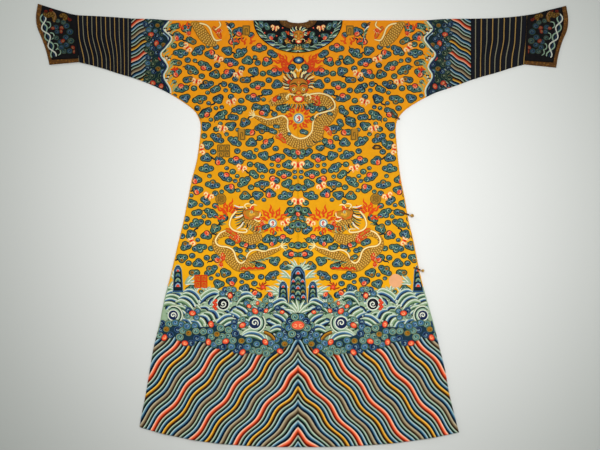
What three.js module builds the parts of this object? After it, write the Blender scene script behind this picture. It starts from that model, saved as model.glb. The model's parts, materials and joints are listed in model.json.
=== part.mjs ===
// A dragon robe in silk, laid flat on its front with its back up.
// Millimetres. The pattern's frame has x from the centre seam (+x is the wearer's right) and drop,
// the distance below the straight line of the shoulders. The robe is cut flat, folded over that line
// and laid down: the fronts rest on z = 0 and the back lies on them.
import * as THREE from 'three';

// Cloth and seams
const CLOTH = 1.6;
const LAYER_GAP = 0.4;
const SEAM_GAP = 0.3;
const LAYER = CLOTH + LAYER_GAP;
const FRONT_MID = CLOTH / 2;
const FOLD_RADIUS = LAYER / 2;
const FOLD_MID = FRONT_MID + FOLD_RADIUS;

// The largest extents, which centre the part
const LEFT_REACH = 903;
const RIGHT_REACH = 931.5;
const CENTRE_LENGTH = 1471;
const HIGHEST_TIP = 57;

// Neck: each edge is a half ellipse behind and a deeper one in front
const NECK_EDGES = {
  hole: { halfWidth: 37, back: 9, front: 66 },
  binding: { halfWidth: 64, back: 31, front: 90 },
  collar: { halfWidth: 153.5, back: 112, front: 158 },
};

const UNDERARM_DROP = 400;
const SIDE_SEAM = [
  { drop: 372, left: 335, right: 337 },
  { drop: 400, left: 337, right: 338 },
  { drop: 480, left: 348, right: 345 },
  { drop: 550, left: 366, right: 355 },
  { drop: 620, left: 380, right: 369 },
  { drop: 690, left: 394, right: 381 },
  { drop: 760, left: 411, right: 398 },
  { drop: 875, left: 438, right: 421 },
  { drop: 960, left: 460, right: 443 },
  { drop: 1040, left: 476, right: 466 },
  { drop: 1125, left: 497, right: 487 },
  { drop: 1205, left: 511, right: 507 },
  { drop: 1290, left: 525, right: 522 },
  { drop: 1371, left: 541, right: 542 },
  { drop: 1425, left: 549, right: 556 },
];
const HEM_CORNER_DROP = { left: 1402, right: 1420 };
const HEM_CURVE = 2.5;

// From the side seam round the armpit to the seam of the lower sleeve
const UNDERARM = [
  { step: 0, leftX: 337, leftDrop: 400, rightX: 338, rightDrop: 400 },
  { step: 1, leftX: 335, leftDrop: 370, rightX: 337, rightDrop: 372 },
  { step: 2, leftX: 341, leftDrop: 338, rightX: 344, rightDrop: 341 },
  { step: 3, leftX: 361, leftDrop: 308, rightX: 370, rightDrop: 309 },
  { step: 4, leftX: 407, leftDrop: 274, rightX: 421, rightDrop: 276 },
  { step: 5, leftX: 459, leftDrop: 244, rightX: 473, rightDrop: 250 },
  { step: 6, leftX: 515, leftDrop: 218, rightX: 532, rightDrop: 230 },
  { step: 7, leftX: 575, leftDrop: 196, rightX: 596, rightDrop: 206 },
];

// How far the folded top edge of the sleeves rises above the shoulder line
const TOP_EDGE = [
  { x: 0, left: 0, right: 0 },
  { x: 440, left: 0, right: 0 },
  { x: 500, left: 4, right: 4 },
  { x: 570, left: 6, right: 5 },
  { x: 640, left: 11, right: 6 },
  { x: 710, left: 15, right: 9 },
  { x: 770, left: 19, right: 15 },
  { x: 821, left: 33, right: 23 },
  { x: 860, left: 45, right: 34 },
  { x: 897, left: 57, right: 43 },
  { x: 925, left: 66, right: 50 },
];

const SLEEVE_SECTIONS = [
  { step: 0, leftTop: 575, leftX: 575, leftDrop: 196, rightTop: 596, rightX: 596, rightDrop: 206 },
  { step: 1, leftTop: 623, leftX: 620, leftDrop: 183, rightTop: 645, rightX: 642, rightDrop: 192 },
  { step: 2, leftTop: 670, leftX: 665, leftDrop: 168, rightTop: 693, rightX: 689, rightDrop: 179 },
  { step: 3, leftTop: 718, leftX: 711, leftDrop: 155, rightTop: 742, rightX: 735, rightDrop: 164 },
  { step: 4, leftTop: 766, leftX: 756, leftDrop: 144, rightTop: 790, rightX: 781, rightDrop: 152 },
];

// The flared edge of the cuffs, from the tip on the fold (0) to the lower corner (1)
const CUFF_EDGE = [
  { part: 0, left: 897, right: 925 },
  { part: 0.2, left: 903, right: 931.5 },
  { part: 0.38, left: 899, right: 928 },
  { part: 0.58, left: 882, right: 911 },
  { part: 0.79, left: 867, right: 898 },
  { part: 1, left: 857, right: 890 },
];
const CUFF_CORNER_DROP = { left: 153, right: 163 };
const CUFF_BORDER_SHARE = 0.11;
const CUFF_BOTTOM_SHARE = 0.08;

// The upper edge of the outer front's lap, from the neck to the armpit, and its band
const LAP_EDGE = [
  { x: 0, drop: 158.5 },
  { x: 55, drop: 164 },
  { x: 110, drop: 186 },
  { x: 170, drop: 236 },
  { x: 230, drop: 298 },
  { x: 285, drop: 346 },
  { x: 340, drop: 374 },
  { x: 360, drop: 430 },
  { x: 400, drop: 600 },
  { x: 600, drop: 1300 },
];
const LAP_BAND_WIDTH = 30;
const LAP_RAMP = 85;
const CENTRE_RAMP = 150;

// Soft folds of the back: ridges that run along turn, in degrees from +x towards the hem
const FOLDS = [
  { x: -690, drop: 62, turn: 52, length: 95, width: 13, height: 7 },
  { x: -655, drop: 96, turn: 60, length: 80, width: 11, height: 5 },
  { x: -722, drop: 84, turn: 40, length: 70, width: 12, height: 5 },
  { x: 640, drop: 92, turn: 128, length: 80, width: 14, height: 4 },
  { x: 706, drop: 74, turn: 115, length: 70, width: 12, height: 3.5 },
  { x: -296, drop: 235, turn: 128, length: 140, width: 28, height: 6 },
  { x: -225, drop: 300, turn: 112, length: 170, width: 30, height: 4 },
  { x: 270, drop: 222, turn: 52, length: 125, width: 28, height: 6 },
  { x: 232, drop: 318, turn: 66, length: 170, width: 30, height: 4.5 },
  { x: -208, drop: 900, turn: 96, length: 420, width: 42, height: 4.5 },
  { x: 196, drop: 860, turn: 85, length: 400, width: 44, height: 4 },
  { x: -335, drop: 1300, turn: 98, length: 240, width: 34, height: 7 },
  { x: -262, drop: 1360, turn: 94, length: 180, width: 32, height: 5.5 },
  { x: -120, drop: 1290, turn: 92, length: 260, width: 34, height: 4.5 },
  { x: 118, drop: 1320, turn: 88, length: 240, width: 36, height: 4 },
  { x: 300, drop: 1290, turn: 83, length: 260, width: 32, height: 5 },
  { x: 430, drop: 1330, turn: 80, length: 190, width: 32, height: 4.5 },
  { x: -445, drop: 1330, turn: 101, length: 200, width: 33, height: 4.5 },
];
const FOLD_EDGE_FADE = 38;

// Straps and ball buttons of the right side
const STRAP_WIDTH = 5.5;
const STRAP_THICKNESS = 1.2;
const FASTENINGS = [
  { name: 'armpit', fromX: 320, fromDrop: 316, toX: 350.5, toDrop: 342, lift: 1.1, ball: 0 },
  { name: 'waist', fromX: 348, fromDrop: 660, toX: 383.5, toDrop: 671, lift: 0.3, ball: 6.2 },
  { name: 'hip', fromX: 398, fromDrop: 852, toX: 422, toDrop: 861, lift: 0.3, ball: 5.2 },
];
const SHANK_SHARE = 0.34;
const SHANK_LENGTH_SHARE = 0.55;

// Mesh density
const COLUMNS = 10;
const BACK_ROWS = 19;
const FRONT_ROWS = 8;
const ROW_CROWDING = 1.4;
const SHOULDER_ROWS = 8;
const SLEEVE_ROWS = 8;
const SLEEVE_COLUMNS = 6;
const FOLD_STEPS = 3;
const RING_STEPS = 8;

const COLOURS = {
  yellow: 0xe39a1c,
  indigo: 0x232748,
  black: 0x17161c,
  brown: 0x6e4a18,
  brass: 0x9a7424,
};

const clamp01 = (value) => Math.min(Math.max(value, 0), 1);
const mix = (from, to, share) => from + (to - from) * share;
const smoothstep = (low, high, value) => {
  const share = clamp01((value - low) / (high - low));
  return share * share * (3 - 2 * share);
};

// A smooth curve through one column of a table, with Hermite slopes from each row's neighbours.
function curve(rows, key, column) {
  const at = rows.map((row) => row[key]);
  const values = rows.map((row) => row[column]);
  const last = rows.length - 1;
  const slope = (i) => {
    const before = Math.max(i - 1, 0);
    const after = Math.min(i + 1, last);
    return (values[after] - values[before]) / (at[after] - at[before]);
  };
  return (position) => {
    const p = Math.min(Math.max(position, at[0]), at[last]);
    let i = 0;
    while (i < last - 1 && p > at[i + 1]) {
      i += 1;
    }
    const span = at[i + 1] - at[i];
    const s = (p - at[i]) / span;
    const [s2, s3] = [s * s, s * s * s];
    return (2 * s3 - 3 * s2 + 1) * values[i] + (s3 - 2 * s2 + s) * span * slope(i)
      + (3 * s2 - 2 * s3) * values[i + 1] + (s3 - s2) * span * slope(i + 1);
  };
}

function makeSide(name, sign) {
  const titled = (column) => `${name}${column}`;
  return {
    name,
    sign,
    seam: curve(SIDE_SEAM, 'drop', name),
    hemCorner: HEM_CORNER_DROP[name],
    underarmX: curve(UNDERARM, 'step', titled('X')),
    underarmDrop: curve(UNDERARM, 'step', titled('Drop')),
    rise: curve(TOP_EDGE, 'x', name),
    sleeveTop: curve(SLEEVE_SECTIONS, 'step', titled('Top')),
    sleeveX: curve(SLEEVE_SECTIONS, 'step', titled('X')),
    sleeveDrop: curve(SLEEVE_SECTIONS, 'step', titled('Drop')),
    cuffEdge: curve(CUFF_EDGE, 'part', name),
    cuffCorner: CUFF_CORNER_DROP[name],
  };
}

const LEFT = makeSide('left', -1);
const RIGHT = makeSide('right', 1);
const sideAt = (x) => (x < 0 ? LEFT : RIGHT);
const lapEdge = curve(LAP_EDGE, 'x', 'drop');

// The lap of the outer front lifts what lies on it by one layer, with a soft step past its edge.
function lapLift(x, drop) {
  return LAYER * (1 - smoothstep(0, LAP_RAMP, lapEdge(Math.max(x, 0)) - drop));
}

function frontMid(x, drop) {
  return FRONT_MID + (x > 0 ? lapLift(x, drop) : 0);
}

// How far a point lies inside the outline, across the side seam or the underarm.
function insideOutline(x, drop) {
  const side = sideAt(x);
  const out = Math.abs(x);
  const fromSeam = side.seam(drop) - out;
  const last = UNDERARM.length - 1;
  const outAtSeam = side.underarmX(last);
  const outAtCuff = side.sleeveX(SLEEVE_SECTIONS.length - 1);
  const bottom = out < outAtSeam
    ? mix(side.underarmDrop(2), side.underarmDrop(last), clamp01((out - side.underarmX(2)) / (outAtSeam - side.underarmX(2))))
    : mix(side.sleeveDrop(0), side.sleeveDrop(4), clamp01((out - outAtSeam) / (outAtCuff - outAtSeam)));
  return Math.max(fromSeam, bottom - drop);
}

function relief(x, drop) {
  const below = drop + sideAt(x).rise(Math.abs(x));
  const fade = smoothstep(0, FOLD_EDGE_FADE, below) * smoothstep(0, FOLD_EDGE_FADE, insideOutline(x, drop));
  let height = 0;
  for (const fold of FOLDS) {
    const turn = THREE.MathUtils.degToRad(fold.turn);
    const along = (x - fold.x) * Math.cos(turn) + (drop - fold.drop) * Math.sin(turn);
    const across = (drop - fold.drop) * Math.cos(turn) - (x - fold.x) * Math.sin(turn);
    const end = 1 - smoothstep(0.35, 1, Math.abs(along) / fold.length);
    height += fold.height * end * Math.exp(-((across / fold.width) ** 2));
  }
  return height * fade;
}

function backMid(x, drop) {
  const lift = x > 0 ? lapLift(x, drop) : lapLift(0, drop) * smoothstep(-CENTRE_RAMP, 0, x);
  return FRONT_MID + LAYER + lift + relief(x, drop);
}

// One point of the cloth's middle: at a drop on the back or the front, or round the shoulder fold.
function onBack(x, drop) {
  return { p: new THREE.Vector3(x, -drop, backMid(x, drop)), n: new THREE.Vector3(0, 0, 1) };
}

function onFront(x, drop) {
  return { p: new THREE.Vector3(x, -drop, frontMid(x, drop)), n: new THREE.Vector3(0, 0, -1) };
}

function foldDrop(x) {
  return FOLD_RADIUS - sideAt(x).rise(Math.abs(x));
}

function onFold(x, angle) {
  const n = new THREE.Vector3(0, Math.cos(angle), Math.sin(angle));
  const centre = new THREE.Vector3(x, -foldDrop(x), FOLD_MID);
  return { p: centre.addScaledVector(n, FOLD_RADIUS), n };
}

// The middle surface of one piece: patches of points that share their edges.
class Pattern {
  constructor() {
    this.points = [];
    this.faces = [];
    this.index = new Map();
  }

  add(point) {
    const key = point.p.toArray().map((value) => Math.round(value * 1000)).join(' ');
    if (!this.index.has(key)) {
      this.index.set(key, this.points.length);
      this.points.push(point);
    }
    return this.index.get(key);
  }

  // at(i, j) gives the point of row i and column j; flip turns the patch's faces over.
  patch(rows, columns, at, flip) {
    const ids = [];
    for (let i = 0; i <= rows; i += 1) {
      ids.push([]);
      for (let j = 0; j <= columns; j += 1) {
        ids[i].push(this.add(at(i, j)));
      }
    }
    for (let i = 0; i < rows; i += 1) {
      for (let j = 0; j < columns; j += 1) {
        const quad = [ids[i][j], ids[i][j + 1], ids[i + 1][j + 1], ids[i + 1][j]];
        this.triangle([quad[0], quad[1], quad[2]], flip);
        this.triangle([quad[0], quad[2], quad[3]], flip);
      }
    }
  }

  triangle(corners, flip) {
    if (new Set(corners).size === 3) {
      this.faces.push(flip ? [corners[0], corners[2], corners[1]] : corners);
    }
  }

  // A closed wall: both faces moved out along the normals, and a strip round every free edge.
  wall(lower = -CLOTH / 2, upper = CLOTH / 2) {
    const count = this.points.length;
    const positions = [];
    for (const offset of [upper, lower]) {
      for (const { p, n } of this.points) {
        positions.push(...p.clone().addScaledVector(n, offset).toArray());
      }
    }
    const triangles = [];
    const edges = new Map();
    for (const [a, b, c] of this.faces) {
      triangles.push(a, b, c, count + a, count + c, count + b);
      for (const [from, to] of [[a, b], [b, c], [c, a]]) {
        edges.set(`${from} ${to}`, [from, to]);
      }
    }
    for (const [from, to] of edges.values()) {
      if (!edges.has(`${to} ${from}`)) {
        triangles.push(from, count + from, count + to, from, count + to, to);
      }
    }
    const geometry = new THREE.BufferGeometry();
    geometry.setAttribute('position', new THREE.Float32BufferAttribute(positions, 3));
    geometry.setIndex(triangles);
    return geometry;
  }
}

function finish(geometry, name, colour, roughness, metalness = 0) {
  geometry.computeVertexNormals();
  const material = new THREE.MeshStandardMaterial({ color: colour, roughness, metalness });
  const mesh = new THREE.Mesh(geometry, material);
  mesh.name = name;
  return mesh;
}

const cloth = (pattern, name, colour) => finish(pattern.wall(), name, colour, 0.7);

// A folded piece: the back from its far edge up to the fold, round it, and down the front.
// spot(i, share) gives x and drop of row i, from the fold (0) to the far edge (1).
function foldedPatch(pattern, rows, columns, spot, flip) {
  const turn = (k) => Math.PI / 2 - (Math.PI * k) / FOLD_STEPS;
  pattern.patch(rows, columns, (i, j) => onBack(...spot(i, 1 - j / columns)), flip);
  pattern.patch(rows, FOLD_STEPS, (i, k) => onFold(spot(i, 0)[0], turn(k)), flip);
  pattern.patch(rows, columns, (i, j) => onFront(...spot(i, j / columns)), flip);
}

// Half of the body with its upper sleeve, cut in one
function bodyHalf(side) {
  const pattern = new Pattern();
  const seam = SEAM_GAP / 2;
  const { collar } = NECK_EDGES;
  const lastStep = UNDERARM.length - 1;
  const armpitStep = 2.4;
  const flip = side.sign > 0;

  // Rows from the hem (0) to the collar (1), columns from the centre seam to the side seam
  const lower = (collarDrop) => (row, share) => {
    const atCentre = mix(CENTRE_LENGTH, collarDrop + SEAM_GAP, row);
    const atSide = mix(side.hemCorner, UNDERARM_DROP, row);
    const bend = mix(HEM_CURVE, 1, row);
    const drop = mix(atCentre, atSide, share ** bend);
    return [side.sign * mix(seam, side.seam(atSide), share), drop];
  };
  // Rows round the collar, from the centre (0) to the shoulder fold (1)
  const yoke = (collarDrop) => (row, share) => {
    const angle = (row * Math.PI) / 2;
    const fold = mix(0, foldDrop(side.sign * collar.halfWidth), row);
    const x = Math.max((collar.halfWidth + SEAM_GAP) * Math.sin(angle), seam);
    const drop = row === 1 ? fold : Math.max((collarDrop + SEAM_GAP) * Math.cos(angle), fold);
    const step = row * armpitStep;
    return [side.sign * mix(x, side.underarmX(step), share), mix(drop, side.underarmDrop(step), share)];
  };
  const backLower = lower(collar.back);
  const frontLower = lower(collar.front);
  const backYoke = yoke(collar.back);
  const frontYoke = yoke(collar.front);
  const rowOf = (i, rows) => 1 - (1 - i / rows) ** ROW_CROWDING;
  const shareOf = (j) => j / COLUMNS;
  pattern.patch(BACK_ROWS, COLUMNS, (i, j) => onBack(...backLower(rowOf(i, BACK_ROWS), 1 - shareOf(j))), flip);
  pattern.patch(RING_STEPS, COLUMNS, (i, j) => onBack(...backYoke(i / RING_STEPS, 1 - shareOf(j))), flip);
  pattern.patch(FRONT_ROWS, COLUMNS, (i, j) => onFront(...frontLower(rowOf(i, FRONT_ROWS), shareOf(j))), flip);
  pattern.patch(RING_STEPS, COLUMNS, (i, j) => onFront(...frontYoke(i / RING_STEPS, shareOf(j))), flip);

  // Rows along the shoulder, from the collar (0) to the seam of the lower sleeve
  const shoulder = (i, share) => {
    const row = i / SHOULDER_ROWS;
    const step = mix(armpitStep, lastStep, row);
    const start = collar.halfWidth + SEAM_GAP;
    const top = side.sign * mix(start, side.underarmX(lastStep) - seam, row);
    const end = side.sign * (side.underarmX(step) - (i === SHOULDER_ROWS ? seam : 0));
    return [mix(top, end, share), mix(foldDrop(top), side.underarmDrop(step), share)];
  };
  foldedPatch(pattern, SHOULDER_ROWS, COLUMNS, shoulder, flip);
  return cloth(pattern, `body_${side.name}`, COLOURS.yellow);
}

// The ribbed lower sleeve
function lowerSleeve(side) {
  const pattern = new Pattern();
  const seam = SEAM_GAP / 2;
  const spot = (i, share) => {
    const step = (i / SLEEVE_ROWS) * (SLEEVE_SECTIONS.length - 1);
    const shift = i === 0 ? seam : i === SLEEVE_ROWS ? -seam : 0;
    const top = side.sign * (side.sleeveTop(step) + shift);
    const x = side.sign * (side.sleeveX(step) + shift);
    return [mix(top, x, share), mix(foldDrop(top), side.sleeveDrop(step), share)];
  };
  foldedPatch(pattern, SLEEVE_ROWS, SLEEVE_COLUMNS, spot, side.sign > 0);
  return cloth(pattern, `sleeve_${side.name}`, COLOURS.indigo);
}

// The cuff's pattern: along 0 is its seam and 1 its flared edge, down 0 is the fold and 1 its bottom
function cuffSpot(side, along, down) {
  const last = SLEEVE_SECTIONS.length - 1;
  const seamX = mix(side.sleeveTop(last), side.sleeveX(last), down) + SEAM_GAP / 2;
  const x = side.sign * mix(seamX, side.cuffEdge(down), along);
  const top = side.sign * mix(side.sleeveTop(last) + SEAM_GAP / 2, side.cuffEdge(0), along);
  const bottom = mix(side.sleeveDrop(last), side.cuffCorner, along);
  return [x, mix(foldDrop(top), bottom, down)];
}

function cuffPatch(pattern, side, along, down, rows, columns) {
  const spot = (i, j, flipDown) => {
    const share = flipDown ? 1 - j / columns : j / columns;
    return cuffSpot(side, mix(along[0], along[1], i / rows), mix(down[0], down[1], share));
  };
  const flip = side.sign > 0;
  pattern.patch(rows, columns, (i, j) => onBack(...spot(i, j, true)), flip);
  pattern.patch(rows, columns, (i, j) => onFront(...spot(i, j, false)), flip);
  if (down[0] === 0) {
    const turn = (k) => Math.PI / 2 - (Math.PI * k) / FOLD_STEPS;
    pattern.patch(rows, FOLD_STEPS, (i, k) => onFold(spot(i, 0, false)[0], turn(k)), flip);
  }
}

function cuff(side) {
  const pattern = new Pattern();
  cuffPatch(pattern, side, [0, 1 - CUFF_BORDER_SHARE], [0, 1 - CUFF_BOTTOM_SHARE], 4, 6);
  return cloth(pattern, `cuff_${side.name}`, COLOURS.black);
}

function cuffBorder(side) {
  const pattern = new Pattern();
  const gapAlong = SEAM_GAP / 110;
  const gapDown = SEAM_GAP / 160;
  const inner = 1 - CUFF_BORDER_SHARE + gapAlong;
  const above = 1 - CUFF_BOTTOM_SHARE + gapDown;
  cuffPatch(pattern, side, [inner, 1], [0, above], 1, 6);
  cuffPatch(pattern, side, [inner, 1], [above, 1], 1, 1);
  cuffPatch(pattern, side, [0, inner], [above, 1], 4, 1);
  return cloth(pattern, `cuff_border_${side.name}`, COLOURS.brown);
}

// A band round the neck between two of its edges, open at the centre front
function neckBand(name, inner, outer, colour, columns) {
  const pattern = new Pattern();
  const seam = SEAM_GAP / 2;
  const spot = (angle, share, depth) => {
    const halfWidth = mix(inner.halfWidth + seam, outer.halfWidth - seam, share);
    const deep = mix(inner[depth] + seam, outer[depth] - seam, share);
    return [halfWidth * Math.sin(angle), deep * Math.cos(angle)];
  };
  const quarter = (i) => (i / RING_STEPS) * (Math.PI / 2);
  for (const { sign } of [LEFT, RIGHT]) {
    const flip = sign > 0;
    const back = (i, j) => {
      const [x, drop] = spot(quarter(i), j / columns, 'back');
      return onBack(sign * x, Math.max(drop, foldDrop(x)));
    };
    const front = (i, j) => {
      const [x, drop] = spot(quarter(i), j / columns, 'front');
      return onFront(sign * Math.max(x, seam), Math.max(drop, foldDrop(x)));
    };
    const turn = (k) => Math.PI / 2 - (Math.PI * k) / FOLD_STEPS;
    const round = (j, k) => onFold(sign * spot(Math.PI / 2, j / columns, 'back')[0], turn(k));
    pattern.patch(RING_STEPS, columns, back, !flip);
    pattern.patch(columns, FOLD_STEPS, round, flip);
    pattern.patch(RING_STEPS, columns, front, flip);
  }
  return cloth(pattern, name, colour);
}

// The outer front's lap, between the seam at the centre front and the right side, under the inner front
function lapPiece(name, colour, rows, upper, lower) {
  const pattern = new Pattern();
  const columns = 10;
  const spot = (row, share) => {
    const atSide = mix(lower(1), upper(1), row);
    const x = mix(SEAM_GAP / 2, RIGHT.seam(atSide), share);
    return [x, mix(lower(share), upper(share), row)];
  };
  const flat = (x, drop) => ({ p: new THREE.Vector3(x, -drop, FRONT_MID), n: new THREE.Vector3(0, 0, -1) });
  pattern.patch(rows, columns, (i, j) => flat(...spot(i / rows, j / columns)), true);
  return cloth(pattern, name, colour);
}

const hemDrop = (share) => mix(CENTRE_LENGTH, RIGHT.hemCorner, share ** HEM_CURVE);
const lapShare = (share) => lapEdge(share * RIGHT.seam(SIDE_SEAM[0].drop));

// A strap of folded cloth on the back panel that runs out past the side seam
function strap({ name, fromX, fromDrop, toX, toDrop, lift }) {
  const pattern = new Pattern();
  const lengthwise = new THREE.Vector2(toX - fromX, toDrop - fromDrop).normalize();
  const rows = 4;
  const rest = CLOTH / 2 + lift + STRAP_THICKNESS / 2;
  const edgeX = RIGHT.seam(Math.max(toDrop, SIDE_SEAM[0].drop));
  pattern.patch(rows, 1, (i, j) => {
    const across = (j - 0.5) * STRAP_WIDTH;
    const x = mix(fromX, toX, i / rows) - lengthwise.y * across;
    const drop = mix(fromDrop, toDrop, i / rows) + lengthwise.x * across;
    const z = backMid(Math.min(x, edgeX), drop) + rest;
    return { p: new THREE.Vector3(x, -drop, z), n: new THREE.Vector3(0, 0, 1) };
  }, false);
  const wall = pattern.wall(-STRAP_THICKNESS / 2, STRAP_THICKNESS / 2);
  return finish(wall, `strap_${name}`, COLOURS.brown, 0.8);
}

// A cast ball with a short shank towards its strap
function button({ name, toX, toDrop, ball }) {
  const shank = ball * SHANK_SHARE;
  const reach = ball * (1 + SHANK_LENGTH_SHARE);
  const steps = 6;
  const outline = [new THREE.Vector2(0, -ball)];
  const neckAngle = Math.PI - Math.asin(SHANK_SHARE);
  for (let i = 1; i <= steps; i += 1) {
    const angle = (neckAngle * i) / steps;
    outline.push(new THREE.Vector2(ball * Math.sin(angle), -ball * Math.cos(angle)));
  }
  outline.push(new THREE.Vector2(shank, reach));
  outline.push(new THREE.Vector2(0, reach));
  const geometry = new THREE.LatheGeometry(outline, 10);
  const mesh = finish(geometry, `button_${name}`, COLOURS.brass, 0.4, 0.8);
  mesh.rotation.z = Math.PI / 2;
  mesh.position.set(toX + SEAM_GAP + reach, -toDrop - 2, backMid(toX, toDrop) + 1.8);
  return mesh;
}

const robe = new THREE.Group();
for (const side of [LEFT, RIGHT]) {
  robe.add(bodyHalf(side));
  robe.add(lowerSleeve(side));
  robe.add(cuff(side));
  robe.add(cuffBorder(side));
}
robe.add(neckBand('collar_band', NECK_EDGES.binding, NECK_EDGES.collar, COLOURS.black, 3));
robe.add(neckBand('neck_binding', NECK_EDGES.hole, NECK_EDGES.binding, COLOURS.brown, 1));
const bandFoot = (share) => lapShare(share) + LAP_BAND_WIDTH;
robe.add(lapPiece('flap_band', COLOURS.black, 2, lapShare, bandFoot));
robe.add(lapPiece('front_flap', COLOURS.yellow, 10, (share) => bandFoot(share) + SEAM_GAP, hemDrop));
for (const fastening of FASTENINGS) {
  robe.add(strap(fastening));
  if (fastening.ball > 0) {
    robe.add(button(fastening));
  }
}
robe.position.set((LEFT_REACH - RIGHT_REACH) / 2, (CENTRE_LENGTH - HIGHEST_TIP) / 2, 0);

export default robe;
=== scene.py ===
"""A dragon robe in silk, laid flat on its front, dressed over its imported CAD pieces.

The cut is worked out in the pattern's frame, in millimetres: x from the centre seam, positive to the
wearer's right, and drop, the distance below the line of the shoulders. Ornament is laid out in the same
frame in pattern units of 3.45 mm. Both are draped on the same heights as the solids.
"""
import json
import math
import random

import bpy
import numpy as np
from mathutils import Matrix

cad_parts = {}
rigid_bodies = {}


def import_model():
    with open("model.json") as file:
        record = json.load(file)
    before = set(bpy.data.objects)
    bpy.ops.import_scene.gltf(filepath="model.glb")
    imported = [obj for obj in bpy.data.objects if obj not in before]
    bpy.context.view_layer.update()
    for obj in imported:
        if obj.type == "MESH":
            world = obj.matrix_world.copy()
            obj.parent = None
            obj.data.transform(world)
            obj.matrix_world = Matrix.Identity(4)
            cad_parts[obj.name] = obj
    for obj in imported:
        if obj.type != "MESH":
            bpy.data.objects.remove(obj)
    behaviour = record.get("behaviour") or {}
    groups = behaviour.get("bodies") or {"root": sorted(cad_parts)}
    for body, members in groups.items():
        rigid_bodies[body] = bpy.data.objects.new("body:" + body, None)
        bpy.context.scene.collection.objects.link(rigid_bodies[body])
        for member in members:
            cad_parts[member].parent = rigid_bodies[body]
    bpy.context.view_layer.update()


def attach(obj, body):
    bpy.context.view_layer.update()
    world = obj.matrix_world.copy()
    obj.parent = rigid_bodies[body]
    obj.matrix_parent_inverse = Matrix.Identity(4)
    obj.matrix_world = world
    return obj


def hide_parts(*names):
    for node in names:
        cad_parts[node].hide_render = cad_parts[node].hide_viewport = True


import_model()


def table(columns, rows):
    """A short table with named columns, as arrays."""
    values = np.array(rows, float)
    return {name: values[:, i] for i, name in enumerate(columns.split())}


def rows_of(rows):
    """A table's rows, one after the other."""
    return zip(*rows.values())


# The cut, in millimetres
CLOTH = 1.6
LAYER_GAP = 0.4
SEAM_GAP = 0.3
LAYER = CLOTH + LAYER_GAP
FRONT_MID = CLOTH / 2
FOLD_RADIUS = LAYER / 2
FOLD_MID = FRONT_MID + FOLD_RADIUS
LEFT_REACH = 903
RIGHT_REACH = 931.5
CENTRE_LENGTH = 1471
HIGHEST_TIP = 57
SHIFT_X = (LEFT_REACH - RIGHT_REACH) / 2
SHIFT_Y = (CENTRE_LENGTH - HIGHEST_TIP) / 2
NECK = {
    "hole": {"half_width": 37, "back": 9, "front": 66},
    "binding": {"half_width": 64, "back": 31, "front": 90},
    "collar": {"half_width": 153.5, "back": 112, "front": 158},
}
UNDERARM_DROP = 400
SIDE_SEAM = table("drop left right", [
    (372, 335, 337), (400, 337, 338), (480, 348, 345), (550, 366, 355), (620, 380, 369),
    (690, 394, 381), (760, 411, 398), (875, 438, 421), (960, 460, 443), (1040, 476, 466),
    (1125, 497, 487), (1205, 511, 507), (1290, 525, 522), (1371, 541, 542), (1425, 549, 556),
])
HEM_CORNER_DROP = {"left": 1402, "right": 1420}
HEM_CURVE = 2.5
UNDERARM = table("step left_x left_drop right_x right_drop", [
    (0, 337, 400, 338, 400), (1, 335, 370, 337, 372), (2, 341, 338, 344, 341), (3, 361, 308, 370, 309),
    (4, 407, 274, 421, 276), (5, 459, 244, 473, 250), (6, 515, 218, 532, 230), (7, 575, 196, 596, 206),
])
TOP_EDGE = table("x left right", [
    (0, 0, 0), (440, 0, 0), (500, 4, 4), (570, 6, 5), (640, 11, 6), (710, 15, 9), (770, 19, 15),
    (821, 33, 23), (860, 45, 34), (897, 57, 43), (925, 66, 50),
])
SLEEVE = table("step left_top left_x left_drop right_top right_x right_drop", [
    (0, 575, 575, 196, 596, 596, 206), (1, 623, 620, 183, 645, 642, 192), (2, 670, 665, 168, 693, 689, 179),
    (3, 718, 711, 155, 742, 735, 164), (4, 766, 756, 144, 790, 781, 152),
])
CUFF_EDGE = table("part left right", [
    (0, 897, 925), (0.2, 903, 931.5), (0.38, 899, 928), (0.58, 882, 911), (0.79, 867, 898), (1, 857, 890),
])
CUFF_CORNER_DROP = {"left": 153, "right": 163}
CUFF_BORDER_SHARE = 0.11
CUFF_BOTTOM_SHARE = 0.08
LAP_EDGE = table("x drop", [
    (0, 158.5), (55, 164), (110, 186), (170, 236), (230, 298), (285, 346), (340, 374), (360, 430),
    (400, 600), (600, 1300),
])
LAP_BAND_WIDTH = 30
LAP_RAMP = 85
CENTRE_RAMP = 150
FOLDS = table("x drop turn length width height", [
    (-690, 62, 52, 95, 13, 7), (-655, 96, 60, 80, 11, 5), (-722, 84, 40, 70, 12, 5),
    (640, 92, 128, 80, 14, 4), (706, 74, 115, 70, 12, 3.5),
    (-296, 235, 128, 140, 28, 6), (-225, 300, 112, 170, 30, 4),
    (270, 222, 52, 125, 28, 6), (232, 318, 66, 170, 30, 4.5),
    (-208, 900, 96, 420, 42, 4.5), (196, 860, 85, 400, 44, 4),
    (-335, 1300, 98, 240, 34, 7), (-262, 1360, 94, 180, 32, 5.5), (-120, 1290, 92, 260, 34, 4.5),
    (118, 1320, 88, 240, 36, 4), (300, 1290, 83, 260, 32, 5), (430, 1330, 80, 190, 32, 4.5),
    (-445, 1330, 101, 200, 33, 4.5),
])
FOLD_EDGE_FADE = 38
FOLD_END_FROM = 0.35              # the share of a fold's length at which its end begins

# Ornament is laid out in pattern units, from the centre seam and the shoulder line
UNIT = 3.45
CELL = 7.0

# Faces of the thin shells, from the middle of the cloth: the underside stays clear of the floor
BACK_OUTSIDE = 0.8
FRONT_OUTSIDE = 0.35
INSIDE = -0.3
BODY_SEAM = 0.05


def mix(low, high, share):
    return low + (high - low) * share


def smoothstep(low, high, value):
    """From 0 at low to 1 at high, whichever is the larger."""
    share = np.clip((np.asarray(value, float) - low) / (high - low), 0, 1)
    return share * share * (3 - 2 * share)


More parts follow.
